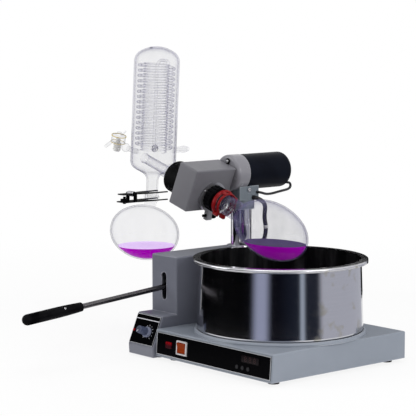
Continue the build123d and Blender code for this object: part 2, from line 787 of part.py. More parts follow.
# Guides of the lift post, and the bush of its cable
post_side = Plane((post_x, post_y, 0), x_dir=(1, 0, 0), z_dir=(0, -1, 0))
post_axis = Axis((post_x, post_y, 0), (0, 0, 1))
post_fit = POST_R + SLIDE_GAP
with BuildPart() as upper_post_bush:
    with BuildSketch(post_side):
        with BuildLine():
            Polyline(
                (post_fit, COLUMN_TOP - BUSH_DEPTH),
                (bush_hole_r, COLUMN_TOP - BUSH_DEPTH),
                (bush_hole_r, COLUMN_TOP),
                (bush_hole_r + BUSH_FLANGE, COLUMN_TOP),
                (bush_hole_r + BUSH_FLANGE, COLUMN_TOP + BUSH_FLANGE),
                (post_fit, COLUMN_TOP + BUSH_FLANGE),
                close=True,
            )
        make_face()
    revolve(axis=post_axis)
save(upper_post_bush.part, "upper_post_bush")

with BuildPart() as lower_post_guide:
    guide_foot = STAND_BOTTOM + FLOOR_PLATE
    with BuildSketch(post_side):
        with BuildLine():
            Polyline(
                (post_fit, guide_foot),
                (bush_hole_r + 2 * BUSH_FLANGE, guide_foot),
                (bush_hole_r + 2 * BUSH_FLANGE, guide_foot + BUSH_FLANGE),
                (bush_hole_r, guide_foot + BUSH_FLANGE),
                (bush_hole_r, GUIDE_TOP),
                (post_fit, GUIDE_TOP),
                close=True,
            )
        make_face()
    revolve(axis=post_axis)
save(lower_post_guide.part, "lower_post_guide")

with BuildPart() as cable_grommet:
    grommet_bore = CABLE_R + 2 * RUN_GAP
    with BuildSketch(Plane((cable_x, cable_y, COLUMN_TOP), x_dir=(1, 0, 0), z_dir=(0, -1, 0))):
        with BuildLine():
            Polyline(
                (grommet_bore, -2 * STAND_WALL),
                (grommet_bore + GROMMET_WALL, -2 * STAND_WALL),
                (grommet_bore + GROMMET_WALL, 0),
                (grommet_bore + 2 * GROMMET_WALL, 0),
                (grommet_bore + GROMMET_WALL, GROMMET_WALL),
                (grommet_bore, GROMMET_WALL),
                close=True,
            )
        make_face()
    revolve(axis=Axis((cable_x, cable_y, 0), (0, 0, 1)))
save(cable_grommet.part, "cable_grommet")

# Lever: hub with an inner arm, rod, grip, and the pins it turns on and lifts with
rod_dir = Vector(0, -cos(radians(LEVER_DROP)), -sin(radians(LEVER_DROP)))
arm_dir = Vector(0, cos(radians(ARM_RISE)), sin(radians(ARM_RISE)))
lift_point = pivot + arm_dir * ARM_L
rod_plane = Plane(pivot, x_dir=(1, 0, 0), z_dir=rod_dir)
clevis_half = ARM_W / 2 + RUN_GAP + EAR_T

with BuildPart() as lever_pivot_pin:
    with BuildSketch(Plane.YZ.offset(stand_left + STAND_WALL)):
        with Locations((pivot.Y, pivot.Z)):
            Circle(PIVOT_R)
    extrude(amount=STAND_W - 2 * STAND_WALL)
save(lever_pivot_pin.part, "lever_pivot_pin")

with BuildPart() as lever_hub:
    with BuildSketch(Plane.YZ.offset(post_x)):
        with Locations((pivot.Y, pivot.Z)):
            Circle(HUB_R)
    extrude(amount=HUB_W / 2, both=True)
    with BuildSketch(Plane.YZ.offset(post_x)):
        with Locations(((pivot.Y + lift_point.Y) / 2, (pivot.Z + lift_point.Z) / 2)):
            SlotCenterToCenter(ARM_L, ARM_H, rotation=ARM_RISE)
    extrude(amount=ARM_W / 2, both=True)
    with BuildSketch(rod_plane):
        Circle(SOCKET_R)
    extrude(amount=SOCKET_L)
    with BuildSketch(rod_plane.offset(ROD_START)):
        Circle(ROD_R)
    extrude(amount=SOCKET_L, mode=Mode.SUBTRACT)
    with BuildSketch(Plane.YZ.offset(post_x)):
        with Locations((pivot.Y, pivot.Z)):
            Circle(PIVOT_R + SLIDE_GAP)
        with Locations((lift_point.Y, lift_point.Z)):
            Circle(LIFT_PIN_R)
    extrude(amount=HUB_W, both=True, mode=Mode.SUBTRACT)
save(lever_hub.part, "lever_hub")

with BuildPart() as lift_pin:
    with BuildSketch(Plane.YZ.offset(post_x)):
        with Locations((lift_point.Y, lift_point.Z)):
            Circle(LIFT_PIN_R)
    extrude(amount=clevis_half, both=True)
save(lift_pin.part, "lift_pin")

with BuildPart() as lever_rod:
    with BuildSketch(rod_plane.offset(ROD_START)):
        Circle(ROD_R)
    extrude(amount=ROD_END + ROD_IN_GRIP - ROD_START)
save(lever_rod.part, "lever_rod")

with BuildPart() as lever_grip:
    with BuildSketch(axial_plane(pivot, rod_dir)):
        grip_end = ROD_END + GRIP_L
        swell = ROD_END + GRIP_L - ROD_IN_GRIP
        with BuildLine():
            Polyline(
                (0, grip_end),
                (0, ROD_END + ROD_IN_GRIP),
                (ROD_R, ROD_END + ROD_IN_GRIP),
                (ROD_R, ROD_END),
                (GRIP_NECK_R, ROD_END),
            )
            TangentArc((GRIP_R, swell), (GRIP_NECK_R, ROD_END), tangent=(0, -1), tangent_from_first=True)
            Line((GRIP_R, swell), (GRIP_R, grip_end - GRIP_R))
            RadiusArc((GRIP_R, grip_end - GRIP_R), (0, grip_end), -GRIP_R)
        make_face()
    revolve(axis=Axis(pivot, rod_dir))
save(lever_grip.part, "lever_grip")

post_top = MOTOR_Z - GEAR_HEAD_R - POST_BELOW_HEAD
with BuildPart() as lift_post:
    with BuildSketch(Plane.XY.offset(POST_BOTTOM)):
        with Locations((post_x, post_y)):
            Circle(POST_R)
            Circle(POST_R - POST_WALL, mode=Mode.SUBTRACT)
    extrude(amount=post_top - POST_BOTTOM)
save(lift_post.part, "lift_post")

with BuildPart() as lift_clevis:
    ear_front = lift_point.Y - PIN_WANDER - LIFT_PIN_R - EAR_T
    with BuildSketch(Plane.XY.offset(lift_point.Z - CLEVIS_H / 2)):
        with Locations((post_x, post_y)):
            Circle(POST_R + CLEVIS_WALL)
        with Locations((post_x, (ear_front + post_y) / 2)):
            Rectangle(2 * clevis_half, post_y - ear_front)
        with Locations((post_x, (ear_front + post_y) / 2 - POST_R - CLEVIS_WALL)):
            Rectangle(ARM_W + 2 * RUN_GAP, post_y - ear_front, mode=Mode.SUBTRACT)
        with Locations((post_x, post_y)):
            Circle(POST_R, mode=Mode.SUBTRACT)
    extrude(amount=CLEVIS_H)
    with BuildSketch(Plane.YZ.offset(post_x)):
        with Locations((lift_point.Y - PIN_WANDER / 2, lift_point.Z)):
            SlotCenterToCenter(PIN_WANDER, 2 * (LIFT_PIN_R + PIN_PLAY))
    extrude(amount=clevis_half, both=True, mode=Mode.SUBTRACT)
save(lift_clevis.part, "lift_clevis")

# Head bracket: a boss on the post under a saddle in which the gear head tilts
motor_centre = Vector(post_x, POT_Y, MOTOR_Z)
motor_axis = Axis(motor_centre, (0, 1, 0))
motor_side = axial_plane(motor_centre, Vector(0, 1, 0))
saddle_back = POT_Y + SADDLE_BACK
saddle_foot = post_top - BRACKET_R / 2
with BuildPart() as head_bracket:
    with BuildSketch(Plane.XY.offset(BRACKET_BOTTOM)):
        with Locations((post_x, post_y)):
            Circle(BRACKET_R)
    extrude(amount=post_top - BRACKET_BOTTOM)
    saddle_front = post_y - BRACKET_R
    with BuildSketch(Plane.XY.offset(saddle_foot)):
        with Locations((post_x, (saddle_front + saddle_back) / 2)):
            Rectangle(2 * SADDLE_HALF, saddle_back - saddle_front)
    extrude(amount=SADDLE_TOP - saddle_foot)
    with BuildSketch(Plane.XY.offset(saddle_foot)):
        with Locations((post_x + SADDLE_HALF - FIN_T / 2, (post_y + saddle_back) / 2)):
            Rectangle(FIN_T, saddle_back - post_y)
    extrude(amount=FIN_TOP - saddle_foot)
    with BuildSketch(Plane.XZ.offset(-saddle_front)):
        with Locations((post_x, MOTOR_Z)):
            Circle(GEAR_HEAD_R + SLIDE_GAP)
    extrude(amount=saddle_front - saddle_back, mode=Mode.SUBTRACT)
    with BuildSketch(Plane.XY.offset(BRACKET_BOTTOM)):
        with Locations((post_x, post_y)):
            Circle(POST_R)
    extrude(amount=post_top - BRACKET_BOTTOM, mode=Mode.SUBTRACT)
save(head_bracket.part, "head_bracket")

# Drive: gear head and motor along the depth, box across the shaft
gear_head_y = BOX_BACK_Y + GEAR_HEAD_GAP
motor_y = gear_head_y + GEAR_HEAD_L
shaft_fit = MOTOR_SHAFT_R + SLIDE_GAP
with BuildPart() as gear_head:
    with BuildSketch(motor_side):
        with BuildLine():
            front_edge = (GEAR_HEAD_R - GEAR_HEAD_EDGE, gear_head_y)
            side_edge = (GEAR_HEAD_R, gear_head_y + GEAR_HEAD_EDGE)
            Polyline(
                (shaft_fit, BOX_BACK_Y),
                (MOTOR_R / 2, BOX_BACK_Y),
                (MOTOR_R / 2, gear_head_y),
                front_edge,
            )
            RadiusArc(front_edge, side_edge, -GEAR_HEAD_EDGE)
            Polyline(side_edge, (GEAR_HEAD_R, motor_y), (shaft_fit, motor_y), (shaft_fit, BOX_BACK_Y))
        make_face()
    revolve(axis=motor_axis)
save(gear_head.part, "gear_head")

with BuildPart() as motor_body:
    motor_end = motor_y + MOTOR_L
    with BuildSketch(motor_side):
        with BuildLine():
            end_side = (MOTOR_R, motor_end - MOTOR_CAP_EDGE)
            end_face = (MOTOR_R - MOTOR_CAP_EDGE, motor_end)
            Polyline((0, motor_end), end_face)
            RadiusArc(end_face, end_side, MOTOR_CAP_EDGE)
            Polyline(
                end_side,
                (MOTOR_R, motor_y),
                (MOTOR_SHAFT_R + RUN_GAP, motor_y),
                (MOTOR_SHAFT_R + RUN_GAP, motor_y + MOTOR_WALL),
                (MOTOR_R - MOTOR_WALL, motor_y + MOTOR_WALL),
                (MOTOR_R - MOTOR_WALL, motor_end - 2 * MOTOR_CAP_EDGE),
                (0, motor_end - 2 * MOTOR_CAP_EDGE),
                (0, motor_end),
            )
        make_face()
    revolve(axis=motor_axis)
save(motor_body.part, "motor_body")

rake = tan(radians(BOX_RAKE))
box_plane = Plane(gear_centre + Vector(0, -BOX_FRONT_Y, 0), x_dir=shaft_dir, z_dir=(0, -1, 0))
box_normal = shaft_dir * cos(radians(BOX_RAKE)) - shaft_up * sin(radians(BOX_RAKE))
box_front_face = Plane(on_shaft(BOX_NOSE), z_dir=box_normal)
box_back_face = Plane(on_shaft(BOX_NOSE - BOX_L), z_dir=box_normal)
box_depth = BOX_FRONT_Y + BOX_BACK_Y


def box_outline(inset):
    """Raked side outline of the drive box, drawn in by the given wall."""
    top = BOX_UP - inset
    foot = -BOX_DOWN + inset
    front = BOX_NOSE - inset
    back = BOX_NOSE - BOX_L + inset
    return [
        (front + foot * rake, foot),
        (front + top * rake, top),
        (back + top * rake, top),
        (back + foot * rake, foot),
    ]


with BuildPart() as drive_box:
    with BuildSketch(box_plane):
        with BuildLine():
            Polyline(*box_outline(0), close=True)
        make_face()
    extrude(amount=-box_depth)
    fillet([e for e in drive_box.edges() if e.center().Y < POT_Y + BOX_BACK_Y - BOX_EDGE], BOX_EDGE)
    with BuildSketch(box_plane.offset(-BOX_WALL)):
        with BuildLine():
            Polyline(*box_outline(BOX_WALL), close=True)
        make_face()
    extrude(amount=BOX_WALL - box_depth, mode=Mode.SUBTRACT)
    with BuildSketch(shaft_cross.offset(-2 * BOX_L)):
        Circle(BEARING_R)
    extrude(amount=4 * BOX_L, mode=Mode.SUBTRACT)
    with BuildSketch(Plane.XZ.offset(BOX_FRONT_Y - BOX_WALL - POT_Y)):
        with Locations((post_x, MOTOR_Z)):
            Circle(WORM_BOSS_R)
            Circle(shaft_fit, mode=Mode.SUBTRACT)
    extrude(amount=WORM_L / 2 + 2 * RUN_GAP - BOX_FRONT_Y + BOX_WALL)
save(drive_box.part, "drive_box")

with BuildPart() as drive_box_cover:
    with BuildSketch(box_plane.offset(COVER_T - box_depth)):
        with BuildLine():
            Polyline(*box_outline(BOX_WALL + SEAT_GAP), close=True)
        make_face()
    extrude(amount=-COVER_T)
    with BuildSketch(Plane.XZ.offset(-POT_Y - BOX_BACK_Y)):
        with Locations((post_x, MOTOR_Z)):
            Circle(MOTOR_SHAFT_R + RUN_GAP)
    extrude(amount=COVER_T, both=True, mode=Mode.SUBTRACT)
save(drive_box_cover.part, "drive_box_cover")

# Worm on the motor's shaft, and the wheel that it turns
wheel_along = (MOTOR_Z - SHAFT_Z) * -sin(tilt)
worm_distance = (MOTOR_Z - SHAFT_Z) * cos(tilt)
worm_r = worm_distance - WHEEL_R
worm_lead = 2 * pi * WHEEL_R / WHEEL_TEETH
flank = tan(radians(FLANK))
space_half = worm_lead / 4 + MESH_PLAY / 2
ridge_half = worm_lead / 4 - MESH_PLAY / 2
worm_core_r = worm_r - WORM_DEDENDUM
with BuildPart() as drive_worm:
    with BuildSketch(motor_side):
        with BuildLine():
            Polyline(
                (0, BOX_WALL - BOX_FRONT_Y),
                (MOTOR_SHAFT_R, BOX_WALL - BOX_FRONT_Y),
                (MOTOR_SHAFT_R, -WORM_L / 2),
                (worm_core_r, -WORM_L / 2),
                (worm_core_r, WORM_L / 2),
                (MOTOR_SHAFT_R, WORM_L / 2),
                (MOTOR_SHAFT_R, ROTOR_START),
                (ROTOR_R, ROTOR_START),
                (ROTOR_R, ROTOR_START + ROTOR_L),
                (0, ROTOR_START + ROTOR_L),
                close=True,
            )
        make_face()
    revolve(axis=motor_axis)
    # The ridge starts on top of the worm, so half a turn and the tilt lie between it and the wheel
    ridge_start = motor_centre - Vector(0, worm_lead * (WORM_TURNS / 2 + SHAFT_TILT / 360), 0)
    with BuildLine() as worm_path:
        Helix(worm_lead, worm_lead * WORM_TURNS, worm_core_r, center=ridge_start, direction=(0, 1, 0))
    ridge_root = worm_path.wires()[0] @ 0
    ridge_out = (ridge_root - ridge_start).normalized()
    with BuildSketch(Plane(ridge_root, x_dir=ridge_out, z_dir=worm_path.wires()[0] % 0)):
        Polygon(
            (-RUN_GAP, -ridge_half - WORM_DEDENDUM * flank),
            (WORM_DEDENDUM + WORM_ADDENDUM, -ridge_half + WORM_ADDENDUM * flank),
            (WORM_DEDENDUM + WORM_ADDENDUM, ridge_half - WORM_ADDENDUM * flank),
            (-RUN_GAP, ridge_half + WORM_DEDENDUM * flank),
            align=None,
        )
    sweep(path=worm_path.wires()[0], is_frenet=True)
save(drive_worm.part, "drive_worm")

with BuildPart() as worm_wheel:
    with BuildSketch(shaft_cross.offset(wheel_along)):
        Circle(WHEEL_R + WORM_ADDENDUM)
        with PolarLocations(WHEEL_R, WHEEL_TEETH, start_angle=90):
            Polygon(
                (-WORM_DEDENDUM, -space_half + WORM_DEDENDUM * flank),
                (2 * WORM_ADDENDUM, -space_half - 2 * WORM_ADDENDUM * flank),
                (2 * WORM_ADDENDUM, space_half + 2 * WORM_ADDENDUM * flank),
                (-WORM_DEDENDUM, space_half - WORM_DEDENDUM * flank),
                align=None,
                mode=Mode.SUBTRACT,
            )
        Circle(HOLLOW_R, mode=Mode.SUBTRACT)
    extrude(amount=WHEEL_W / 2, both=True)
save(worm_wheel.part, "worm_wheel")

# Hollow shaft with the cone that holds the flask, its bearings, collar and nut
neck_bore = NECK_R - NECK_WALL
with BuildPart() as hollow_shaft:
    with BuildSketch(shaft_side):
        with BuildLine():
            Polyline(
                (HOLLOW_BORE, -HOLLOW_BACK),
                (HOLLOW_R, -HOLLOW_BACK),
                (HOLLOW_R, COLLAR_FRONT + RUN_GAP + NUT_L),
                (neck_bore, NECK_START),
                (CONE_TIP_R, NECK_START + CONE_L),
                (HOLLOW_BORE, NECK_START + CONE_L),
                close=True,
            )
        make_face()
    revolve(axis=shaft_axis)
save(hollow_shaft.part, "hollow_shaft")

with BuildPart() as shaft_bearings:
    with BuildSketch(shaft_side):
        for near in (BEARING_FRONT, -BEARING_BACK - BEARING_W):
            with Locations(((BEARING_R + HOLLOW_R + SLIDE_GAP) / 2, near + BEARING_W / 2)):
                Rectangle(BEARING_R - HOLLOW_R - SLIDE_GAP, BEARING_W)
    revolve(axis=shaft_axis)
save(shaft_bearings.part, "shaft_bearings")

lug_along = COLLAR_FRONT - LUG_T / 2
with BuildPart() as seal_collar:
    with BuildSketch(shaft_side):
        with BuildLine():
            Polyline(
                (BEARING_R, -BOX_DOWN),
                (COLLAR_R, -BOX_DOWN),
                (COLLAR_R, COLLAR_FRONT),
                (HOLLOW_R + RUN_GAP, COLLAR_FRONT),
                (HOLLOW_R + RUN_GAP, COLLAR_FRONT - COLLAR_LIP),
                (BEARING_R, COLLAR_FRONT - COLLAR_LIP),
                close=True,
            )
        make_face()
    revolve(axis=shaft_axis)
    with BuildSketch(shaft_cross.offset(COLLAR_FRONT)):
        with Locations((0, -(COLLAR_R + LUG_DROP) / 2)):
            Rectangle(LUG_W, LUG_DROP - COLLAR_R + THUMB_STEM_R * 2)
    extrude(amount=-LUG_T)
    with BuildSketch(Plane(on_shaft(lug_along, THUMB_STEM_R * 2 - LUG_DROP), z_dir=(0, 1, 0))):
        Circle(THUMB_STEM_R + SLIDE_GAP)
    extrude(amount=LUG_W, both=True, mode=Mode.SUBTRACT)
    split(bisect_by=box_front_face, keep=Keep.TOP)
save(seal_collar.part, "seal_collar")

with BuildPart() as collar_screw:
    screw_place = on_shaft(lug_along, THUMB_STEM_R * 2 - LUG_DROP, -LUG_W)
    with BuildSketch(Plane(screw_place, z_dir=(0, 1, 0))):
        Circle(THUMB_STEM_R)
    extrude(amount=1.5 * LUG_W + RUN_GAP + THUMB_L / 2)
    with BuildSketch(Plane(screw_place + Vector(0, 1.5 * LUG_W + RUN_GAP, 0), z_dir=(0, 1, 0))):
        Circle(THUMB_R)
    extrude(amount=THUMB_L)
    fillet(collar_screw.edges().filter_by(GeomType.CIRCLE).group_by(SortBy.RADIUS)[-1], THUMB_L / 5)
save(collar_screw.part, "collar_screw")

with BuildPart() as flask_nut:
    with BuildSketch(shaft_cross.offset(COLLAR_FRONT + RUN_GAP)):
        Circle(NUT_R)
        with PolarLocations(NUT_R + 1, NUT_FLUTES):
            Circle(NUT_R / 10, mode=Mode.SUBTRACT)
        Circle(HOLLOW_R, mode=Mode.SUBTRACT)
    extrude(amount=NUT_L)
save(flask_nut.part, "flask_nut")

# Evaporating flask, the clip on its neck, and what it holds
with BuildPart() as evaporating_flask:
    with BuildSketch(shaft_side):
        with Locations((0, BULB_CENTRE)):
            Ellipse(BULB_R, BULB_LONG)
        with Locations((0, (NECK_START + BULB_CENTRE) / 2)):
            Rectangle(2 * NECK_R, BULB_CENTRE - NECK_START)
        with Locations((0, BULB_CENTRE)):
            Ellipse(BULB_R - GLASS, BULB_LONG - GLASS, mode=Mode.SUBTRACT)
        with Locations((0, (NECK_START + BULB_CENTRE) / 2)):
            Rectangle(2 * neck_bore, BULB_CENTRE - NECK_START, mode=Mode.SUBTRACT)
        with Locations((-BULB_LONG, BULB_CENTRE)):
            Rectangle(2 * BULB_LONG, 4 * BULB_LONG, mode=Mode.SUBTRACT)
    revolve(axis=shaft_axis)
save(evaporating_flask.part, "evaporating_flask")

with BuildPart() as evaporating_liquid:
    with BuildSketch(shaft_side):
        with Locations((0, BULB_CENTRE)):
            Ellipse(BULB_R - GLASS - LIQUID_GAP, BULB_LONG - GLASS - LIQUID_GAP)
        with Locations((-BULB_LONG, BULB_CENTRE)):
            Rectangle(2 * BULB_LONG, 4 * BULB_LONG, mode=Mode.SUBTRACT)
    revolve(axis=shaft_axis)
    split(bisect_by=Plane.XY.offset(LIQUID_Z), keep=Keep.BOTTOM)
save(evaporating_liquid.part, "evaporating_liquid")

with BuildPart() as joint_clip:
    clip_outer = NECK_R + CLIP_WALL
    with BuildSketch(shaft_cross.offset(CLIP_START)):
        Circle(clip_outer)
    extrude(amount=CLIP_L)
    for rib_start in (CLIP_START, CLIP_START + CLIP_L - CLIP_RIB_L):
        with BuildSketch(shaft_cross.offset(rib_start)):
            Circle(clip_outer + CLIP_RIB)
        extrude(amount=CLIP_RIB_L)
    with BuildSketch(shaft_cross.offset(CLIP_START)):
        Circle(NECK_R)
        with BuildLine():
            gape = radians(CLIP_OPEN / 2)
            far = 2 * clip_outer
            Polyline((0, 0), (-far * cos(gape), far * sin(gape)), (-far * cos(gape), -far * sin(gape)), close=True)
        make_face()
    extrude(amount=CLIP_L, mode=Mode.SUBTRACT)
    with BuildSketch(shaft_cross.offset(CLIP_START)):
        with PolarLocations(clip_outer + CLIP_RIB, 2, 180 - CLIP_OPEN / 2, CLIP_OPEN, endpoint=True):
            Circle(CLIP_EAR_R)
        with Locations((0, -clip_outer - CLIP_RIB)):
            Circle(CLIP_EAR_R)
    extrude(amount=CLIP_L)
save(joint_clip.part, "joint_clip")

# Condenser union: the black cap behind the drive box
with BuildPart() as condenser_union:
    with BuildSketch(shaft_side):
        with BuildLine():
            Polyline(
                (BEARING_R, 0),
                (BEARING_R, -BEARING_BACK - BEARING_W),
                (HOLLOW_R + 2 * RUN_GAP, -BEARING_BACK - BEARING_W),
                (HOLLOW_R + 2 * RUN_GAP, UNION_WALL - UNION_END),
                (HOLLOW_BORE, UNION_WALL - UNION_END),
                (HOLLOW_BORE, -UNION_END),
                (UNION_R, -UNION_END),
                (UNION_R, 0),
                close=True,
            )
        make_face()
    revolve(axis=shaft_axis)
    end_circles = condenser_union.edges().filter_by(GeomType.CIRCLE).sort_by(Axis(gear_centre, shaft_dir))
    fillet(end_circles[:2].sort_by(SortBy.RADIUS)[-1], UNION_WALL)
    split(bisect_by=box_back_face, keep=Keep.BOTTOM)
save(condenser_union.part, "condenser_union")

# Condenser: a glass jacket on the side arm, with a dome above and a ball below
condenser_lean = radians(CONDENSER_LEAN)
condenser_along = CONDENSER_FROM_POST / cos(tilt)
condenser_base = on_shaft(condenser_along)
condenser_dir = Vector(sin(condenser_lean), 0, cos(condenser_lean))
condenser_out = Vector(-cos(condenser_lean), 0, sin(condenser_lean))
condenser_side = axial_plane(condenser_base, condenser_dir)
condenser_axis = Axis(condenser_base, condenser_dir)
jacket_top = (JACKET_TOP - condenser_base.Z) / cos(condenser_lean)
joint_drop = (condenser_base.Z - JOINT_Z) / cos(condenser_lean)
joint_centre = condenser_base - condenser_dir * joint_drop
nipple_root = condenser_base + condenser_dir * NIPPLE_UP
second_turn = radians(SECOND_NIPPLE_TURN)
nipple_dirs = [Vector(0, 1, 0), Vector(-sin(second_turn), cos(second_turn), 0)]
stub_root = condenser_base + condenser_dir * (COCK_ROOT_Z - condenser_base.Z)
arm_length = -UNION_END - condenser_along


def jacket_outline(wall):
    """Half outline of the condenser's glass, drawn in by the given wall, down to the ball's centre."""
    dome_foot = jacket_top - JACKET_DOME
    neck = JACKET_NECK_R - wall
    side = JACKET_R - wall
    edge = DOME_ARC - wall
    cap = ((JACKET_R - DOME_ARC) ** 2 + JACKET_DOME ** 2 - DOME_ARC ** 2) / (2 * (JACKET_DOME - DOME_ARC)) - wall
    turn = degrees(atan2(cap + wall - JACKET_DOME, JACKET_R - DOME_ARC))
    Polyline((0, jacket_top - wall), (0, -joint_drop), (neck, -joint_drop), (neck, -JACKET_NECK))
    Spline((neck, -JACKET_NECK), (side, JACKET_FOOT), tangents=((0, 1), (0, 1)))
    Line((side, JACKET_FOOT), (side, dome_foot))
    CenterArc((JACKET_R - DOME_ARC, dome_foot), edge, 0, turn)
    CenterArc((0, jacket_top - wall - cap), cap, turn, 90 - turn)


with BuildPart() as condenser_jacket:
    with BuildSketch(condenser_side):
        with BuildLine():
            jacket_outline(0)
        make_face()
    revolve(axis=condenser_axis)
    with Locations(joint_centre):
        Sphere(BALL_R)
    with BuildSketch(Plane(condenser_base, z_dir=shaft_dir)):
        Circle(ARM_R)
    extrude(amount=arm_length)
    with BuildSketch(Plane(on_shaft(-UNION_END), z_dir=shaft_dir)):
        Circle(ARM_FLANGE_R)
    extrude(amount=-ARM_FLANGE_T)
    for nipple_dir in nipple_dirs:
        with BuildSketch(axial_plane(nipple_root, nipple_dir)):
            with BuildLine():
                nipple_end = JACKET_R + NIPPLE_L
                barb_start = nipple_end - 3 * NIPPLE_R
                Polyline(
                    (0, 0),
                    (NIPPLE_R, 0),
                    (NIPPLE_R, barb_start),
                    (NIPPLE_R + NIPPLE_BARB, barb_start),
                    (NIPPLE_R, barb_start + NIPPLE_R),
                    (NIPPLE_R + NIPPLE_BARB, barb_start + NIPPLE_R),
                    (NIPPLE_R - NIPPLE_BARB, nipple_end),
                    (0, nipple_end),
                    close=True,
                )
            make_face()
        revolve(axis=Axis(nipple_root, nipple_dir))
    with BuildSketch(Plane(stub_root, z_dir=condenser_out)):
        Circle(COCK_TUBE_R)
    extrude(amount=JACKET_R + COCK_STUB)
    with BuildSketch(condenser_side):
        with BuildLine():
            jacket_outline(GLASS)
        make_face()
    revolve(axis=condenser_axis, mode=Mode.SUBTRACT)
    with BuildSketch(Plane(joint_centre, z_dir=-condenser_dir)):
        Circle(BALL_BORE)
    extrude(amount=2 * BALL_R, mode=Mode.SUBTRACT)
    with BuildSketch(Plane(condenser_base, z_dir=shaft_dir)):
        Circle(HOLLOW_BORE)
    extrude(amount=arm_length, mode=Mode.SUBTRACT)
    for nipple_dir in nipple_dirs:
        with BuildSketch(Plane(nipple_root, z_dir=nipple_dir)):
            Circle(NIPPLE_BORE)
        extrude(amount=JACKET_R + NIPPLE_L, mode=Mode.SUBTRACT)
    with BuildSketch(Plane(stub_root, z_dir=condenser_out)):
        Circle(COCK_TUBE_R * BORE_SHARE)
    extrude(amount=JACKET_R + COCK_STUB, mode=Mode.SUBTRACT)
save(condenser_jacket.part, "condenser_jacket")

# Cooling coil: up in turns from the first nipple, over the top, and straight back to the second
coil_foot = condenser_base + condenser_dir * COIL_START
coil_height = COIL_PITCH * COIL_TURNS
nipple_wall = JACKET_R - GLASS
with BuildPart() as cooling_coil:
    with BuildLine() as coil_path:
        Helix(COIL_PITCH, coil_height, COIL_OUTER_R, center=coil_foot, direction=condenser_dir)
    turns = coil_path.wires()[0]
    with BuildSketch(Plane(turns @ 0, z_dir=turns % 0)):
        Circle(COIL_TUBE_R)
    sweep(path=turns, is_frenet=True)
    with Locations(turns @ 0, turns @ 1):
        Sphere(COIL_TUBE_R)
    leg = COIL_START - NIPPLE_UP
    return_top = condenser_base + condenser_dir * (COIL_START + coil_height + leg) + nipple_dirs[1] * RETURN_R
    return_foot = nipple_root + nipple_dirs[1] * RETURN_R
    with BuildLine() as foot_path:
        lead_path(
            turns @ 0,
            turns @ 0 - condenser_dir * leg,
            nipple_root + nipple_dirs[0] * nipple_wall / 2,
            nipple_root + nipple_dirs[0] * nipple_wall,
        )
    with BuildSketch(Plane(turns @ 0, z_dir=-condenser_dir)):
        Circle(COIL_TUBE_R)
    sweep(path=foot_path.wires()[0])
    with BuildLine() as return_path:
        lead_path(
            turns @ 1,
            turns @ 1 + condenser_dir * leg,
            return_top,
            return_foot,
            nipple_root + nipple_dirs[1] * nipple_wall,
        )
    with BuildSketch(Plane(turns @ 1, z_dir=condenser_dir)):
        Circle(COIL_TUBE_R)
    sweep(path=return_path.wires()[0])
save(cooling_coil.part, "cooling_coil")

# Stopcock: a glass arm with a bulb, a barrel across it and a ribbed key
cock_x = post_x + CONDENSER_FROM_POST
cock_centre = Vector(cock_x - COCK_REACH, POT_Y, COCK_Z)
cock_bulb = Vector(cock_x - COCK_BULB_REACH, POT_Y, COCK_BULB_Z)
stub_end = stub_root + condenser_out * (JACKET_R + COCK_STUB)
key_dir = Vector(-sin(radians(COCK_TILT)), 0, -cos(radians(COCK_TILT)))
tip_dir = Vector(-cos(radians(COCK_TIP_DROP)), 0, -sin(radians(COCK_TIP_DROP)))
capillary_dir = Vector(cos(radians(CAPILLARY_RISE)), 0, sin(radians(CAPILLARY_RISE)))
barrel_end = cock_centre + key_dir * (COCK_BARREL_L / 2)
with BuildPart() as stopcock_body:
    with BuildLine() as arm_path:
        Polyline(stub_end, stub_end + condenser_out * COCK_STUB, cock_bulb, cock_centre)
    with BuildSketch(Plane(stub_end, z_dir=condenser_out)):
        Circle(COCK_TUBE_R)
    sweep(path=arm_path.wires()[0], transition=Transition.ROUND)
    with Locations(cock_bulb):
        Sphere(COCK_BULB_R)
    for root, reach, direction, radius in (
        (cock_centre + Vector(0, 0, COCK_TIP_UP), COCK_TIP_L, tip_dir, COCK_TIP_R),
        (cock_centre, CAPILLARY_L, capillary_dir, CAPILLARY_R),
        (cock_centre, COCK_BARREL_L / 2 + COCK_CAP_L, -key_dir, COCK_CAP_R),
    ):
        with BuildSketch(Plane(root, z_dir=direction)):
            Circle(radius)
        extrude(amount=reach)
    with BuildSketch(Plane(cock_centre, z_dir=key_dir)):
        Circle(COCK_BARREL_R)
    extrude(amount=COCK_BARREL_L / 2, both=True)
    with BuildSketch(Plane(barrel_end, z_dir=-key_dir)):
        Circle(KEY_STEM_R + SLIDE_GAP)
    extrude(amount=COCK_BARREL_L * BORE_SHARE + RUN_GAP, mode=Mode.SUBTRACT)
save(stopcock_body.part, "stopcock_body")

with BuildPart() as stopcock_key:
    rib_pitch = KEY_GRIP_L / (2 * KEY_RIBS)
    with BuildSketch(axial_plane(barrel_end, key_dir)):
        with Locations((0, -COCK_BARREL_L * BORE_SHARE)):
            Rectangle(KEY_STEM_R, COCK_BARREL_L * BORE_SHARE + 2 * RUN_GAP, align=(Align.MIN, Align.MIN))
        with Locations((0, RUN_GAP)):
            Rectangle(KEY_GRIP_R - NIPPLE_BARB, KEY_GRIP_L, align=(Align.MIN, Align.MIN))
        for rib in range(KEY_RIBS):
            with Locations((0, RUN_GAP + 2 * rib * rib_pitch)):
                Rectangle(KEY_GRIP_R, rib_pitch, align=(Align.MIN, Align.MIN))
    revolve(axis=Axis(barrel_end, key_dir))
save(stopcock_key.part, "stopcock_key")

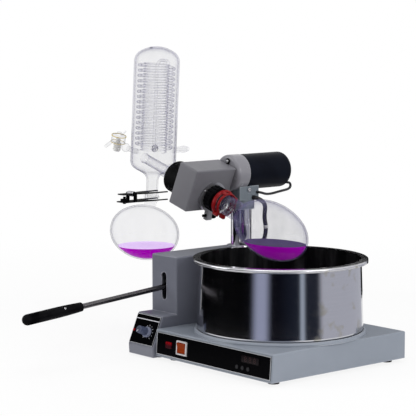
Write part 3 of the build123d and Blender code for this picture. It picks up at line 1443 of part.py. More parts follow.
# Ball-joint clamp: two forks on a hinge, with a screw behind it
cup_r = BALL_R + CUP_GAP + CUP_WALL
lower_slot = sqrt(cup_r ** 2 - CLAMP_DOWN ** 2)
upper_slot = JACKET_NECK_R + CLAMP_NECK_GAP
lug_inner = CLAMP_TAIL_W / 2 + RUN_GAP
hinge_centre = joint_centre + Vector(0, -HINGE_BACK, CLAMP_UP + CLAMP_T / 2)
stud_foot = joint_centre + Vector(0, -STUD_BACK, 0)


def fork_outline(tail_half, slot_half):
    """Plan of a clamp fork about the ball's centre: open ahead, narrowed to a tail behind."""
    jaw = CLAMP_W / 2
    Polygon(
        (-jaw, CLAMP_TIP),
        (-jaw, -jaw),
        (-tail_half, -HINGE_BACK + HINGE_BARREL_R),
        (-tail_half, -CLAMP_TAIL),
        (tail_half, -CLAMP_TAIL),
        (tail_half, -HINGE_BACK + HINGE_BARREL_R),
        (jaw, -jaw),
        (jaw, CLAMP_TIP),
        align=None,
    )
    Circle(slot_half, mode=Mode.SUBTRACT)
    with Locations((0, CLAMP_TIP)):
        Rectangle(2 * slot_half, 2 * CLAMP_TIP, mode=Mode.SUBTRACT)


with BuildPart() as clamp_lower_fork:
    with BuildSketch(Plane(joint_centre - Vector(0, 0, CLAMP_DOWN))):
        fork_outline(lug_inner + LUG_PLATE, lower_slot)
        with Locations((0, -STUD_BACK)):
            Circle(STUD_R + SLIDE_GAP, mode=Mode.SUBTRACT)
    extrude(amount=-CLAMP_T)
    with BuildSketch(Plane(hinge_centre, x_dir=(0, 1, 0), z_dir=(1, 0, 0))):
        Circle(HINGE_PIN_R)
    extrude(amount=lug_inner, both=True)
    for side in (-1, 1):
        with BuildSketch(Plane(hinge_centre + Vector(side * lug_inner, 0, 0), x_dir=(0, 1, 0), z_dir=(side, 0, 0))):
            Circle(HINGE_BARREL_R)
            with Locations((0, -side * (CLAMP_UP + CLAMP_T / 2 + CLAMP_DOWN) / 2)):
                Rectangle(2 * HINGE_BARREL_R, CLAMP_UP + CLAMP_T / 2 + CLAMP_DOWN)
        extrude(amount=LUG_PLATE)
save(clamp_lower_fork.part, "clamp_lower_fork")

with BuildPart() as clamp_upper_fork:
    with BuildSketch(Plane(joint_centre + Vector(0, 0, CLAMP_UP))):
        fork_outline(CLAMP_TAIL_W / 2, upper_slot)
    extrude(amount=CLAMP_T)
    with BuildSketch(Plane(hinge_centre, x_dir=(0, 1, 0), z_dir=(1, 0, 0))):
        Circle(HINGE_BARREL_R)
    extrude(amount=CLAMP_TAIL_W / 2, both=True)
    with BuildSketch(Plane(hinge_centre, x_dir=(0, 1, 0), z_dir=(1, 0, 0))):
        Circle(HINGE_PIN_R + SLIDE_GAP)
    extrude(amount=CLAMP_TAIL_W, both=True, mode=Mode.SUBTRACT)
save(clamp_upper_fork.part, "clamp_upper_fork")

with BuildPart() as clamp_screw:
    with BuildSketch(Plane(stud_foot - Vector(0, 0, CLAMP_DOWN + CLAMP_T + STUD_R))):
        Circle(STUD_R)
    extrude(amount=CLAMP_DOWN + CLAMP_T + STUD_R + STUD_TOP)
    with BuildSketch(Plane(stud_foot - Vector(0, 0, CLAMP_DOWN - RUN_GAP))):
        Circle(WHEEL_NUT_R)
    extrude(amount=WHEEL_NUT_H)
save(clamp_screw.part, "clamp_screw")

# Receiving flask on the ball joint, and what it holds
flask_lean = radians(FLASK_LEAN)
flask_heading = radians(FLASK_HEADING)
flask_dir = Vector(sin(flask_lean) * cos(flask_heading), sin(flask_lean) * sin(flask_heading), -cos(flask_lean))
flask_side = axial_plane(joint_centre, flask_dir)
flask_axis = Axis(joint_centre, flask_dir)
with BuildPart() as receiving_flask:
    with BuildSketch(flask_side):
        with BuildLine():
            half_oval(FLASK_HANG, FLASK_R, FLASK_HALF, FLASK_SIDE_ARC)
        make_face()
        Circle(cup_r)
        with Locations((0, FLASK_HANG / 2)):
            Rectangle(2 * JACKET_NECK_R, FLASK_HANG)
        with BuildLine():
            half_oval(FLASK_HANG, FLASK_R - GLASS, FLASK_HALF - GLASS, FLASK_SIDE_ARC - GLASS)
        make_face(mode=Mode.SUBTRACT)
        with Locations((0, FLASK_HANG / 2)):
            Rectangle(2 * BALL_BORE, FLASK_HANG, mode=Mode.SUBTRACT)
        Circle(BALL_R + CUP_GAP, mode=Mode.SUBTRACT)
        with Locations((0, -CUP_TOP - cup_r)):
            Rectangle(2 * cup_r, 2 * cup_r, mode=Mode.SUBTRACT)
        with Locations((-FLASK_R, FLASK_HANG)):
            Rectangle(2 * FLASK_R, 4 * FLASK_R, mode=Mode.SUBTRACT)
    revolve(axis=flask_axis)
save(receiving_flask.part, "receiving_flask")

liquid_in = GLASS + LIQUID_GAP
with BuildPart() as receiving_liquid:
    with BuildSketch(flask_side):
        with BuildLine():
            half_oval(FLASK_HANG, FLASK_R - liquid_in, FLASK_HALF - liquid_in, FLASK_SIDE_ARC - liquid_in)
        make_face()
    revolve(axis=flask_axis)
    split(bisect_by=Plane.XY.offset(FLASK_LIQUID_Z), keep=Keep.BOTTOM)
save(receiving_liquid.part, "receiving_liquid")

# Motor lead: out of the motor's end, under it and into the bracket's side
bracket_side = post_x + SADDLE_HALF
lead_x = post_x + LEAD_SIDE
lead_y = POT_Y + motor_end - LEAD_INSET
lead_z = MOTOR_Z - LEAD_LOW
with BuildPart() as motor_lead:
    with BuildLine() as motor_route:
        lead_path(
            (lead_x, lead_y, lead_z),
            (lead_x, lead_y + LEAD_OUT, lead_z),
            (lead_x, lead_y + LEAD_OUT, lead_z - LEAD_DROP),
            (lead_x + LEAD_AWAY, lead_y - LEAD_UNDER, lead_z - LEAD_DROP - LEAD_R),
            (lead_x + 2 * LEAD_AWAY, saddle_back + LEAD_UNDER, lead_z - LEAD_SAG),
            (bracket_side + LEAD_OUT, saddle_back - LEAD_INSET, lead_z - LEAD_DROP),
            (bracket_side, saddle_back - LEAD_INSET, lead_z - LEAD_DROP),
        )
    with BuildSketch(Plane(motor_route.wires()[0] @ 0, z_dir=(0, 1, 0))):
        Circle(LEAD_R)
    sweep(path=motor_route.wires()[0])
    add(motor_body.part, mode=Mode.SUBTRACT)
save(motor_lead.part, "motor_lead")

cable_start = saddle_back - LEAD_INSET - CABLE_BELOW
cable_top = lead_z - LEAD_DROP - CABLE_BELOW

# Head cable: out of the bracket's side, down behind the post and through the bush in the stand's top
with BuildPart() as head_cable:
    with BuildLine() as cable_route:
        lead_path(
            (bracket_side, cable_start, cable_top),
            (bracket_side + CABLE_OUT, cable_start, cable_top),
            (bracket_side + CABLE_OUT - CABLE_R, cable_y, cable_top - CABLE_OUT),
            (bracket_side + CABLE_R, cable_y, cable_top - 3 * CABLE_OUT),
            (cable_x + CABLE_R, cable_y + CABLE_BOW, COLUMN_TOP + 3 * CABLE_OUT - CABLE_R),
            (cable_x, cable_y + CABLE_BOW, COLUMN_TOP + CABLE_OUT),
            (cable_x, cable_y, COLUMN_TOP + CABLE_R),
            (cable_x, cable_y, COLUMN_TOP - CABLE_IN),
        )
    with BuildSketch(Plane(cable_route.wires()[0] @ 0, z_dir=cable_route.wires()[0] % 0)):
        Circle(CABLE_R)
    sweep(path=cable_route.wires()[0])
    add(head_bracket.part, mode=Mode.SUBTRACT)
save(head_cable.part, "head_cable")
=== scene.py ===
import math

import bpy
from mathutils import Matrix, Vector


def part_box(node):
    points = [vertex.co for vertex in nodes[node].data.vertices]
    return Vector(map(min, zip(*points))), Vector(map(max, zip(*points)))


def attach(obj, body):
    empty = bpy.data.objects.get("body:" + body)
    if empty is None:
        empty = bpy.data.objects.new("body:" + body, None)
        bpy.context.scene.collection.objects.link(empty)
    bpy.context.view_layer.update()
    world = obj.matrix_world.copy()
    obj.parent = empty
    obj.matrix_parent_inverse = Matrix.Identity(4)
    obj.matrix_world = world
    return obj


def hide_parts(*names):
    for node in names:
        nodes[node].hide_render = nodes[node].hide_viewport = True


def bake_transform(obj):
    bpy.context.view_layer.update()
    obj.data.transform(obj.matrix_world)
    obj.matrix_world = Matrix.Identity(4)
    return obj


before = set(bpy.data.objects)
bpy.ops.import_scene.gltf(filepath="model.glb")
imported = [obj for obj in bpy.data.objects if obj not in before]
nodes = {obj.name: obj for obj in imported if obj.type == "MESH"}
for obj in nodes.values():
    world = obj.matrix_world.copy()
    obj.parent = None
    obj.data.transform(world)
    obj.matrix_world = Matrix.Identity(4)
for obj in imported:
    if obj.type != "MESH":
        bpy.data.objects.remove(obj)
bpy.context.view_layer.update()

# The camera stands where the photographer stood: in front and to the right, a little above the pot,
# with a long lens that keeps the upright edges nearly parallel.
camera_data = bpy.data.cameras.new("photo_camera")
camera_data.lens = 143.05
camera_data.sensor_width = 36.0
camera = bpy.data.objects.new("photo_camera", camera_data)
camera.location = (2.1228, -1.7301, 0.5611)
camera.rotation_euler = (math.radians(83.492), 0.0, math.radians(49.32))
bpy.context.scene.collection.objects.link(camera)
bpy.context.scene.camera = camera

# The studio: a pale floor without an edge in view, white surroundings, and soft boxes above and at both
# sides. Two bent cards that only reflections see give polished steel its dark and pale stripes.
bpy.context.scene.view_settings.view_transform = "Standard"
bpy.context.scene.cycles.transparent_max_bounces = 64


class Value:
    """A socket of a node tree that takes part in arithmetic; each operation adds a node."""

    def __init__(self, tree, socket):
        self.tree = tree
        self.socket = socket

    def make(self, kind, settings=None, sockets=None, out=0):
        """Adds one node: its settings first, then the values or links of its sockets."""
        node = self.tree.nodes.new(kind)
        for name, setting in (settings or {}).items():
            setattr(node, name, setting)
        for name, value in (sockets or {}).items():
            if isinstance(value, Value):
                self.tree.links.new(value.socket, node.inputs[name])
            else:
                node.inputs[name].default_value = value
        return Value(self.tree, node.outputs[out])

    def maths(self, operation, *others):
        """This value and the others through one Math node."""
        sockets = {number: value for number, value in enumerate((self, *others))}
        return self.make("ShaderNodeMath", {"operation": operation}, sockets)

    def __add__(self, other):
        return self.maths("ADD", other)

    def __radd__(self, other):
        return self.maths("ADD", other)

    def __sub__(self, other):
        return self.maths("SUBTRACT", other)

    def __rsub__(self, other):
        return self.maths("MULTIPLY_ADD", -1.0, other)

    def __mul__(self, other):
        return self.maths("MULTIPLY", other)

    def __rmul__(self, other):
        return self.maths("MULTIPLY", other)

    def __pow__(self, other):
        return self.maths("POWER", other)

    def between(self, low, high):
        """0 below low, 1 above high, and a smooth step from one to the other."""
        settings = {"interpolation_type": "SMOOTHSTEP"}
        sockets = {"Value": self, "From Min": low, "From Max": high}
        return self.make("ShaderNodeMapRange", settings, sockets)

    def mix(self, first, second):
        """A colour between the two, by this value."""
        first, second = (end if isinstance(end, Value) else (*end, 1.0) for end in (first, second))
        return self.make("ShaderNodeMix", {"data_type": "RGBA"}, {0: self, 6: first, 7: second}, out=2)

    def dot(self, other):
        """The dot product of two vectors."""
        return self.make("ShaderNodeVectorMath", {"operation": "DOT_PRODUCT"}, {0: self, 1: other}, out=1)

    def parts(self):
        """The three numbers of a vector."""
        split = self.make("ShaderNodeSeparateXYZ", None, {0: self})
        return [Value(self.tree, socket) for socket in split.socket.node.outputs]

    def stretched(self, scale, move=(0.0, 0.0, 0.0), turn=(0.0, 0.0, 0.0)):
        """This place scaled, turned and moved for a pattern."""
        sockets = {"Vector": self, "Location": move, "Rotation": turn, "Scale": scale}
        return self.make("ShaderNodeMapping", None, sockets)

    def about(self, origin, axis):
        """This place seen along an axis: x and y across it, z along it from the origin."""
        turn = Vector(axis).rotation_difference(Vector((0.0, 0.0, 1.0)))
        return self.stretched((1.0, 1.0, 1.0), -(turn @ Vector(origin)), turn.to_euler())

    def off_axis(self):
        """The distance from the z axis of such a place."""
        across, over, _ = self.parts()
        return (across * across + over * over) ** 0.5

    def noise(self, scale, detail=2.0, roughness=0.5):
        """Cloudy noise from 0 to 1 at this place."""
        sockets = {"Vector": self, "Scale": scale, "Detail": detail, "Roughness": roughness}
        return self.make("ShaderNodeTexNoise", None, sockets)


def finish(name, **constants):
    """A material with one Principled shader and its fixed values: gives the material, its shader and a
    point's place on the piece."""
    material = bpy.data.materials.new(name)
    material.use_nodes = True
    tree = material.node_tree
    shader = tree.nodes["Principled BSDF"]
    for socket, value in constants.items():
        socket = socket.replace("_", " ")
        shader.inputs[socket].default_value = (*value, 1.0) if socket.endswith("Color") else value
    place = Value(tree, tree.nodes.new("ShaderNodeTexCoord").outputs["Object"])
    return material, shader, place


def feed(shader, **values):
    """Links what changes over the surface to the shader's sockets."""
    for socket, value in values.items():
        shader.id_data.links.new(value.socket, shader.inputs[socket.replace("_", " ")])


def object_mode():
    """Leaves edit mode."""
    if bpy.context.mode != "OBJECT":
        bpy.ops.object.mode_set(mode="OBJECT")


def lone(kind, **settings):
    """Adds a primitive with nothing else selected, and gives the new object."""
    object_mode()
    bpy.ops.object.select_all(action="DESELECT")
    kind(**settings)
    return bpy.context.object


def pick(piece, test):
    """Edit mode with only those faces selected whose centre and normal pass a test."""
    object_mode()
    bpy.context.tool_settings.mesh_select_mode = (False, False, True)
    for detail in (*piece.data.vertices, *piece.data.edges):
        detail.select = False
    for face in piece.data.polygons:
        face.select = test(face.center, face.normal)
    bpy.ops.object.mode_set(mode="EDIT")


def settle(piece, name, material=None, matrix=None):
    """Names a finished piece, puts its place in its mesh and gives it its material."""
    object_mode()
    piece.name = name
    piece.data.name = name
    piece.data.transform(piece.matrix_world if matrix is None else matrix @ piece.matrix_world)
    piece.matrix_world = Matrix.Identity(4)
    if material is not None:
        piece.data.materials.clear()
        piece.data.materials.append(material)
    return piece


def rays_seen(place):
    """1 for what the camera, reflections and glass see, 0 for what only lights the object."""
    path = place.make("ShaderNodeLightPath").socket.node.outputs
    seen = Value(place.tree, path["Is Camera Ray"]) + Value(place.tree, path["Is Glossy Ray"])
    return (seen + Value(place.tree, path["Is Transmission Ray"])).maths("MINIMUM", 1.0)


floor = settle(lone(bpy.ops.mesh.primitive_circle_add, vertices=96, radius=40.0, fill_type="NGON"), "floor")
floor_finish, floor_shader, place = finish("pale_floor", Base_Color=(0.9, 0.9, 0.9), Roughness=0.7)
FLOOR_GLOW = 0.84
far_off = place.off_axis().between(0.5, 1.6) * (1.0 - FLOOR_GLOW) + FLOOR_GLOW
glow = place.make("ShaderNodeEmission", None, {"Color": (1.0, 1.0, 1.0, 1.0), "Strength": 1.0})
pale = place.make("ShaderNodeMixShader", None, {0: rays_seen(place) * far_off, 2: glow})
pale.tree.links.new(floor_shader.outputs[0], pale.socket.node.inputs[1])
pale.tree.links.new(pale.socket, pale.tree.nodes["Material Output"].inputs["Surface"])
floor.data.materials.append(floor_finish)

world = bpy.data.worlds.new("studio")
bpy.context.scene.world = world
world.use_nodes = True
sky = Value(world.node_tree, world.node_tree.nodes["Background"].outputs[0])
WORLD_LIGHT = 0.58
level = rays_seen(sky) * (1.0 - WORLD_LIGHT) + WORLD_LIGHT
world.node_tree.links.new(level.socket, sky.socket.node.inputs["Strength"])
sky.socket.node.inputs["Color"].default_value = (1.0, 1.0, 1.0, 1.0)

for name, spot, aim, size, power in (
    ("box_above", (0.2, -0.1, 2.2), (0.0, 0.0, 0.2), 1.8, 15.0),
    ("box_left", (-1.5, -1.9, 1.2), (0.0, 0.0, 0.2), 1.3, 18.0),
    ("box_right", (2.3, 0.5, 1.1), (0.0, 0.0, 0.2), 1.3, 24.0),
):
    lamp_data = bpy.data.lights.new(name, "AREA")
    lamp_data.size = size
    lamp_data.energy = power
    lamp = bpy.data.objects.new(name, lamp_data)
    lamp.location = spot
    lamp.rotation_euler = (Vector(aim) - Vector(spot)).to_track_quat("-Z", "Y").to_euler()
    bpy.context.scene.collection.objects.link(lamp)

POT_AXIS = Vector((0.1646, 0.1094, 0.0))
UNLIT = (0.0010, 0.0010, 0.0014)


def studio_card(name, radius, start, end, height, stops):
    """An upright card bent round the pot from one angle to another, in degrees, that only reflections see;
    its shade changes from stop to stop."""
    card = lone(
        bpy.ops.mesh.primitive_circle_add, vertices=180, radius=radius, location=POT_AXIS, fill_type="NOTHING"
    )
    bpy.ops.object.mode_set(mode="EDIT")
    bpy.ops.mesh.extrude_edges_move(TRANSFORM_OT_translate={"value": (0.0, 0.0, height)})
    pick(card, lambda centre, _: not start < math.degrees(math.atan2(centre.y, centre.x)) < end)
    bpy.ops.mesh.delete(type="FACE")
    material, shader, place = finish(
        name, Base_Color=(0.0, 0.0, 0.0), Specular_IOR_Level=0.0, Emission_Color=UNLIT, Emission_Strength=1.0
    )
    across, over, _ = place.stretched((1.0, 1.0, 1.0), move=-POT_AXIS).parts()
    angle = over.maths("ARCTAN2", across) * math.degrees(1.0)
    shade = UNLIT
    for first, last, colour in stops:
        shade = angle.between(first, last).mix(shade, colour)
    if stops:
        feed(shader, Emission_Color=shade)
    settle(card, name, material)
    card.visible_camera = False
    card.visible_diffuse = False
    card.visible_shadow = False
    card.visible_transmission = False


studio_card(
    "studio_card_1",
    radius=0.40,
    start=-168.0,
    end=92.0,
    height=0.24,
    stops=(
        (-79.0, -67.5, (0.40, 0.43, 0.58)),
        (-62.0, -51.5, (0.003, 0.003, 0.006)),
        (-50.0, -25.0, (0.010, 0.013, 0.024)),
        (-22.0, -18.5, (0.46, 0.52, 0.61)),
        (-17.5, -12.5, (0.012, 0.015, 0.027)),
        (0.0, 9.0, (0.54, 0.55, 0.61)),
    ),
)
studio_card("studio_card_2", radius=0.75, start=100.0, end=178.0, height=0.34, stops=())


# Leads: a thin black lead from the motor's end down to the bracket, and a thicker black cable from the
# bracket into the grommet on the stand. Both are rubber covered and hang in loose curves.
def bump(height, depth):
    """Surface relief: height from 0 to 1, depth in metres."""
    return height.make("ShaderNodeBump", None, {"Height": height, "Distance": depth, "Strength": 1.0})


rubber, rubber_shader, place = finish("lead_rubber", Specular_IOR_Level=0.3)
scuff = place.noise(220.0, 4.0)
feed(
    rubber_shader,
    Base_Color=scuff.between(0.35, 0.75).mix((0.006, 0.006, 0.008), (0.017, 0.017, 0.020)),
    Roughness=0.36 + scuff * 0.16,
    Normal=bump(place.noise(1800.0), 0.00004),
)


def lead(name, points, radius, node, material):
    """A rubber lead along a smooth route of control points, in millimetres: gives the tube and its route."""
    curve = bpy.data.curves.new(name, "CURVE")
    curve.dimensions = "3D"
    spline = curve.splines.new("NURBS")
    spline.points.add(len(points) - 1)
    for point, spot in zip(spline.points, points):
        point.co = (*(number / 1000.0 for number in spot), 1.0)
    spline.order_u = 3
    spline.use_endpoint_u = True
    spline.resolution_u = 24
    piece = bpy.data.objects.new(name, curve)
    bpy.context.scene.collection.objects.link(piece)
    line = bpy.data.meshes.new_from_object(piece)
    route = [vertex.co.copy() for vertex in line.vertices]
    bpy.data.meshes.remove(line)
    curve.bevel_depth = radius / 1000.0
    curve.bevel_resolution = 5
    curve.use_fill_caps = True
    bpy.ops.object.select_all(action="DESELECT")
    bpy.context.view_layer.objects.active = piece
    piece.select_set(True)
    bpy.ops.object.convert(target="MESH")
    bpy.ops.object.shade_smooth()
    settle(piece, name, material)
    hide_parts(node)
    return piece, route


LEAD_R = 2.2
CABLE_R = 3.8
thin_lead, thin_route = lead(
    "thin_lead",
    (
        (4.6, 274.4, 274.5),
        (4.6, 283.4, 274.5),
        (4.6, 283.4, 263.0),
        (8.6, 256.4, 260.8),
        (12.6, 221.4, 257.0),
        (17.6, 199.4, 263.0),
        (8.6, 199.4, 263.0),
    ),
    LEAD_R,
    "motor_lead",
    rubber,
)
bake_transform(thin_lead)
thick_cable, thick_route = lead(
    "thick_cable",
    (
        (8.6, 190.4, 254.0),
        (20.6, 190.4, 254.0),
        (16.8, 213.0, 242.0),
        (12.4, 213.0, 218.0),
        (8.4, 222.0, 199.2),
        (4.6, 222.0, 179.0),
        (4.6, 213.0, 170.8),
        (4.6, 213.0, 140.0),
    ),
    CABLE_R,
    "head_cable",
    rubber,
)
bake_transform(thick_cable)

# The cable's band: white tape wound round the thick cable a little past its middle, where it is tied up for
# service. It is a short sleeve with softened ends, set along the cable's direction at that point.
BAND_SHARE = 0.56
BAND_L, BAND_WALL, BAND_EDGE = 0.006, 0.0005, 0.0004
SMOOTH_ANGLE = math.radians(40.0)
band_white, band_shader, place = finish("band_white", Roughness=0.5)
wrap = place.noise(500.0, 3.0)
feed(band_shader, Base_Color=wrap.between(0.3, 0.7).mix((0.55, 0.55, 0.56), (0.72, 0.72, 0.72)))
middle = int(len(thick_route) * BAND_SHARE)
along = (thick_route[middle + 1] - thick_route[middle - 1]).normalized()


def along_line(spot, direction):
    """The matrix that stands a piece made along z at a spot, along a direction."""
    turn = Vector((0.0, 0.0, 1.0)).rotation_difference(Vector(direction)).to_matrix().to_4x4()
    return Matrix.Translation(Vector(spot)) @ turn


band = lone(
    bpy.ops.mesh.primitive_cylinder_add, vertices=32, radius=CABLE_R / 1000.0 + BAND_WALL, depth=BAND_L
)
pick(band, lambda centre, normal: abs(normal.z) > 0.9)
bpy.ops.mesh.bevel(offset=BAND_EDGE, segments=2, affect="EDGES")
settle(band, "cable_band", band_white, along_line(thick_route[middle], along))
bpy.ops.object.shade_smooth_by_angle(angle=SMOOTH_ANGLE)
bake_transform(band)


# The bath's casing: a low box of folded sheet, powder coated in a pale bluish grey with a fine orange peel
# that is a little lighter along its edges, partly wear and partly a painted highlight where the rounded edges
# catch the light. It stands on rubber feet and the pot's seat ring lies on it.
def coat(material, *names):
    """Gives CAD nodes a material."""
    for name in names:
        slots = nodes[name].data.materials
        slots.clear()
        slots.append(material)


def powder_coat(name, dark, light, worn_and_lit_tone, roughness=0.42, shine=0.4):
    """A grey powder coat between two tones, with a lighter tone along its edges: partly wear, partly a
    painted highlight where rounded edges catch the light.
    """
    material, shader, place = finish(name, Specular_IOR_Level=shine)
    tone = place.noise(9.0, 3.0).between(0.3, 0.7)
    rounded = place.make("ShaderNodeBevel", {"samples": 8}, {"Radius": 0.0030})
    straight = place.make("ShaderNodeNewGeometry", out=1)
    # Lighter along edges: partly wear, partly a painted highlight of the light that rounded edges catch.
    edge = (1.0 - rounded.dot(straight)).between(0.02, 0.16) * place.noise(35.0, 4.0).between(0.2, 0.6)
    feed(
        shader,
        Base_Color=edge.mix(tone.mix(dark, light), worn_and_lit_tone),
        Roughness=place.noise(60.0, 3.0) * 0.12 + (roughness - 0.06),
        Normal=bump(place.noise(1500.0, 1.0), 0.00002),
    )
    return material


casing_grey = powder_coat("casing_grey", (0.220, 0.246, 0.290), (0.245, 0.272, 0.320), (0.40, 0.42, 0.46))
coat(casing_grey, "bath_casing", "pot_seat_ring")
turned_steel, turned_shader, place = finish("turned_steel", Base_Color=(0.42, 0.42, 0.44), Metallic=1.0)
feed(turned_shader, Roughness=0.26 + place.noise(300.0, 3.0) * 0.14)
coat(turned_steel, "bath_floor_plate", "heater_plate", "heating_element")
foot_rubber, foot_shader, place = finish("foot_rubber", Specular_IOR_Level=0.25)
grain = place.noise(700.0, 3.0)
feed(
    foot_shader,
    Base_Color=grain.between(0.3, 0.7).mix((0.010, 0.010, 0.011), (0.022, 0.022, 0.024)),
    Roughness=0.6 + grain * 0.2,
)
coat(foot_rubber, "rubber_feet")

# The pot: spun from sheet steel with a turned-out rim, polished outside with fine lines round it and a few
# dull beige spots on its right side, partly stains and partly a painted reflection of the casing. Inside,
# wall and floor are painted near-black, a painted shade for the pot's deep inside, with streaks where it was
# wiped.
FLOOR_EDGE, FLOOR_TOP = (0.129, 0.124), (0.0545, 0.056)
RIM_MID, RIM_HALF, RIM_OUTER, RIM_DEPTH = 0.171, 0.003, (0.1430, 0.1436), 0.0022
LINES_ROUND, LINES_UP = 18.0, 900.0
STAINED_AND_REFLECTING_SIDE = (0.272, 0.298)
pot_steel, pot_shader, place = finish("pot_steel", Metallic=1.0)
from_axis = place.stretched((1.0, 1.0, 0.0), move=(-POT_AXIS.x, -POT_AXIS.y, 0.0))
facing_out = from_axis.dot(place.make("ShaderNodeNewGeometry", out=1))
height = place.parts()[2]
# The inner wall and floor: where this mask is 1 the steel is painted near-black, a painted shade for the
# pot's deep inside.
inside = (-1.0 * facing_out).between(0.02, 0.05)
inside = inside.maths("MAXIMUM", from_axis.off_axis().between(*FLOOR_EDGE) * height.between(*FLOOR_TOP))
around = place.stretched(
    (LINES_ROUND, LINES_ROUND, LINES_UP), move=(-LINES_ROUND * POT_AXIS.x, -LINES_ROUND * POT_AXIS.y, 0.0)
)
lines = around.noise(1.0, 4.0, 0.6)
wiped = place.stretched((26.0, 26.0, 5.0)).noise(1.0, 4.0).between(0.42, 0.7)
# Dull beige spots on the pot's right side only: partly stains, partly a painted reflection of the casing.
stains_and_reflection = place.noise(34.0, 2.0).between(0.56, 0.70) * place.parts()[0].between(*STAINED_AND_REFLECTING_SIDE)
across_rim = (height - RIM_MID) * (1.0 / RIM_HALF)
rolled = (1.0 - across_rim * across_rim).maths("MAXIMUM", 0.0) * from_axis.off_axis().between(*RIM_OUTER)
polished = lines.mix((0.56, 0.56, 0.59), (0.63, 0.63, 0.66))
feed(
    pot_shader,
    Base_Color=inside.mix(
        stains_and_reflection.mix(polished, (0.50, 0.48, 0.43)), wiped.mix((0.02, 0.02, 0.022), (0.16, 0.16, 0.165))
    ),
    Roughness=0.08 + lines * 0.09 + stains_and_reflection * 0.1 + inside * 0.2,
    Normal=bump(rolled, RIM_DEPTH),
)
coat(pot_steel, "bath_pot")

# The bath's front panel: a gloss black sheet with a bright cut edge all round. It carries a red lamp, a
# rocker switch in a white frame, a dark display and three small round push buttons.
PANEL_T = 0.001
EDGE_RISE = 0.00015
LEAN = (0.0, -0.99762, 0.06903)
panel_black, panel_shader, place = finish("panel_black", Specular_IOR_Level=0.012)
dust = place.noise(400.0, 5.0)
feed(
    panel_shader,
    Base_Color=dust.between(0.55, 0.8).mix((0.0015, 0.0015, 0.002), (0.004, 0.004, 0.0055)),
    Roughness=0.18 + dust * 0.12,
)
coat(panel_black, "front_panel")
bright_edge, edge_shader, place = finish("bright_edge", Base_Color=(0.62, 0.63, 0.66), Metallic=0.6)
feed(edge_shader, Roughness=0.3 + place.noise(500.0, 3.0) * 0.15)


def on_face(origin, across, outward):
    """The matrix of a flat place on a face: x across it, z outward."""
    across = Vector(across).normalized()
    outward = Vector(outward).normalized()
    turn = Matrix((across, outward.cross(across), outward)).transposed().to_4x4()
    return Matrix.Translation(Vector(origin)) @ turn


def every_face(centre, normal):
    """The test that picks a whole piece."""
    return True


def plate(width, length):
    """A flat rectangle about the origin, in edit mode with its face picked."""
    flat = lone(bpy.ops.mesh.primitive_plane_add, size=1.0)
    pick(flat, every_face)
    bpy.ops.transform.resize(value=(width, length, 1.0))
    return flat


def raise_face(height):
    """Extrudes what is picked straight up, or down into the piece."""
    bpy.ops.mesh.extrude_region_move(TRANSFORM_OT_translate={"value": (0.0, 0.0, height)})


def face_outward():
    """Turns all normals of the piece in edit mode outward."""
    bpy.ops.mesh.select_all(action="SELECT")
    bpy.ops.mesh.normals_make_consistent(inside=False)


def thicken(rise):
    """Makes the flat outline in edit mode a thin plate with its normals outward."""
    raise_face(rise)
    face_outward()


def cut_edge(name, matrix, width, length, line):
    """The bright edge of a panel: a flat ring round it that stands a hair above its face."""
    ring = plate(width, length)
    bpy.ops.mesh.inset(thickness=line)
    bpy.ops.mesh.delete(type="FACE")
    bpy.ops.mesh.select_all(action="SELECT")
    thicken(EDGE_RISE)
    settle(ring, name, bright_edge, matrix)
    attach(ring, "stand")


panel_low, panel_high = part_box("front_panel")
panel_w = panel_high[0] - panel_low[0]
panel_h = (panel_high[2] - panel_low[2]) / -LEAN[1]
panel_mid = (Vector(panel_low) + Vector(panel_high)) / 2
panel_spot = panel_mid + Vector(LEAN) * (PANEL_T / 2)
cut_edge("panel_edge", on_face(panel_spot, (1, 0, 0), LEAN), panel_w, panel_h, line=0.0009)

window_black, window_shader, place = finish("window_black", Specular_IOR_Level=0.1)
feed(
    window_shader,
    Base_Color=place.noise(60.0, 3.0).mix((0.003, 0.002, 0.003), (0.008, 0.004, 0.005)),
    Roughness=0.08 + place.noise(300.0, 4.0) * 0.08,
)
coat(window_black, "display_window")


def moulding(name, colour, roughness, **constants):
    """A moulded plastic of one colour with a faint grain."""
    material, shader, place = finish(name, **constants)
    grain = place.noise(1200.0, 2.0)
    tone = place.noise(120.0, 3.0).between(0.3, 0.7)
    feed(
        shader,
        Base_Color=tone.mix(tuple(number * 0.86 for number in colour), colour),
        Roughness=grain * 0.1 + (roughness - 0.05),
        Normal=bump(grain, 0.00003),
    )
    return material


coat(moulding("frame_white", (0.66, 0.63, 0.64), 0.35), "switch_bezel")
coat(moulding("rocker_orange", (0.25, 0.030, 0.001), 0.3, Specular_IOR_Level=0.04), "switch_rocker")
button_grey = moulding("button_grey", (0.022, 0.022, 0.025), 0.4, Specular_IOR_Level=0.12)
coat(button_grey, "set_button_1", "set_button_2", "set_button_3")
coat(moulding("board_green", (0.02, 0.12, 0.05), 0.4), "control_board")
lamp_red, lamp_shader, place = finish("lamp_red", Specular_IOR_Level=0.1)
lamp_low, lamp_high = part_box("power_lamp")
# The lens is painted a lighter red towards its top: a painted highlight where light falls on it.
painted_top_highlight = place.parts()[2].between(lamp_low[2] + 0.004, lamp_high[2])
feed(
    lamp_shader,
    Base_Color=painted_top_highlight.mix((0.035, 0.002, 0.006), (0.26, 0.002, 0.006)),
    Roughness=0.14 + place.noise(300.0, 3.0) * 0.1,
)
coat(lamp_red, "power_lamp", "speed_lamp")

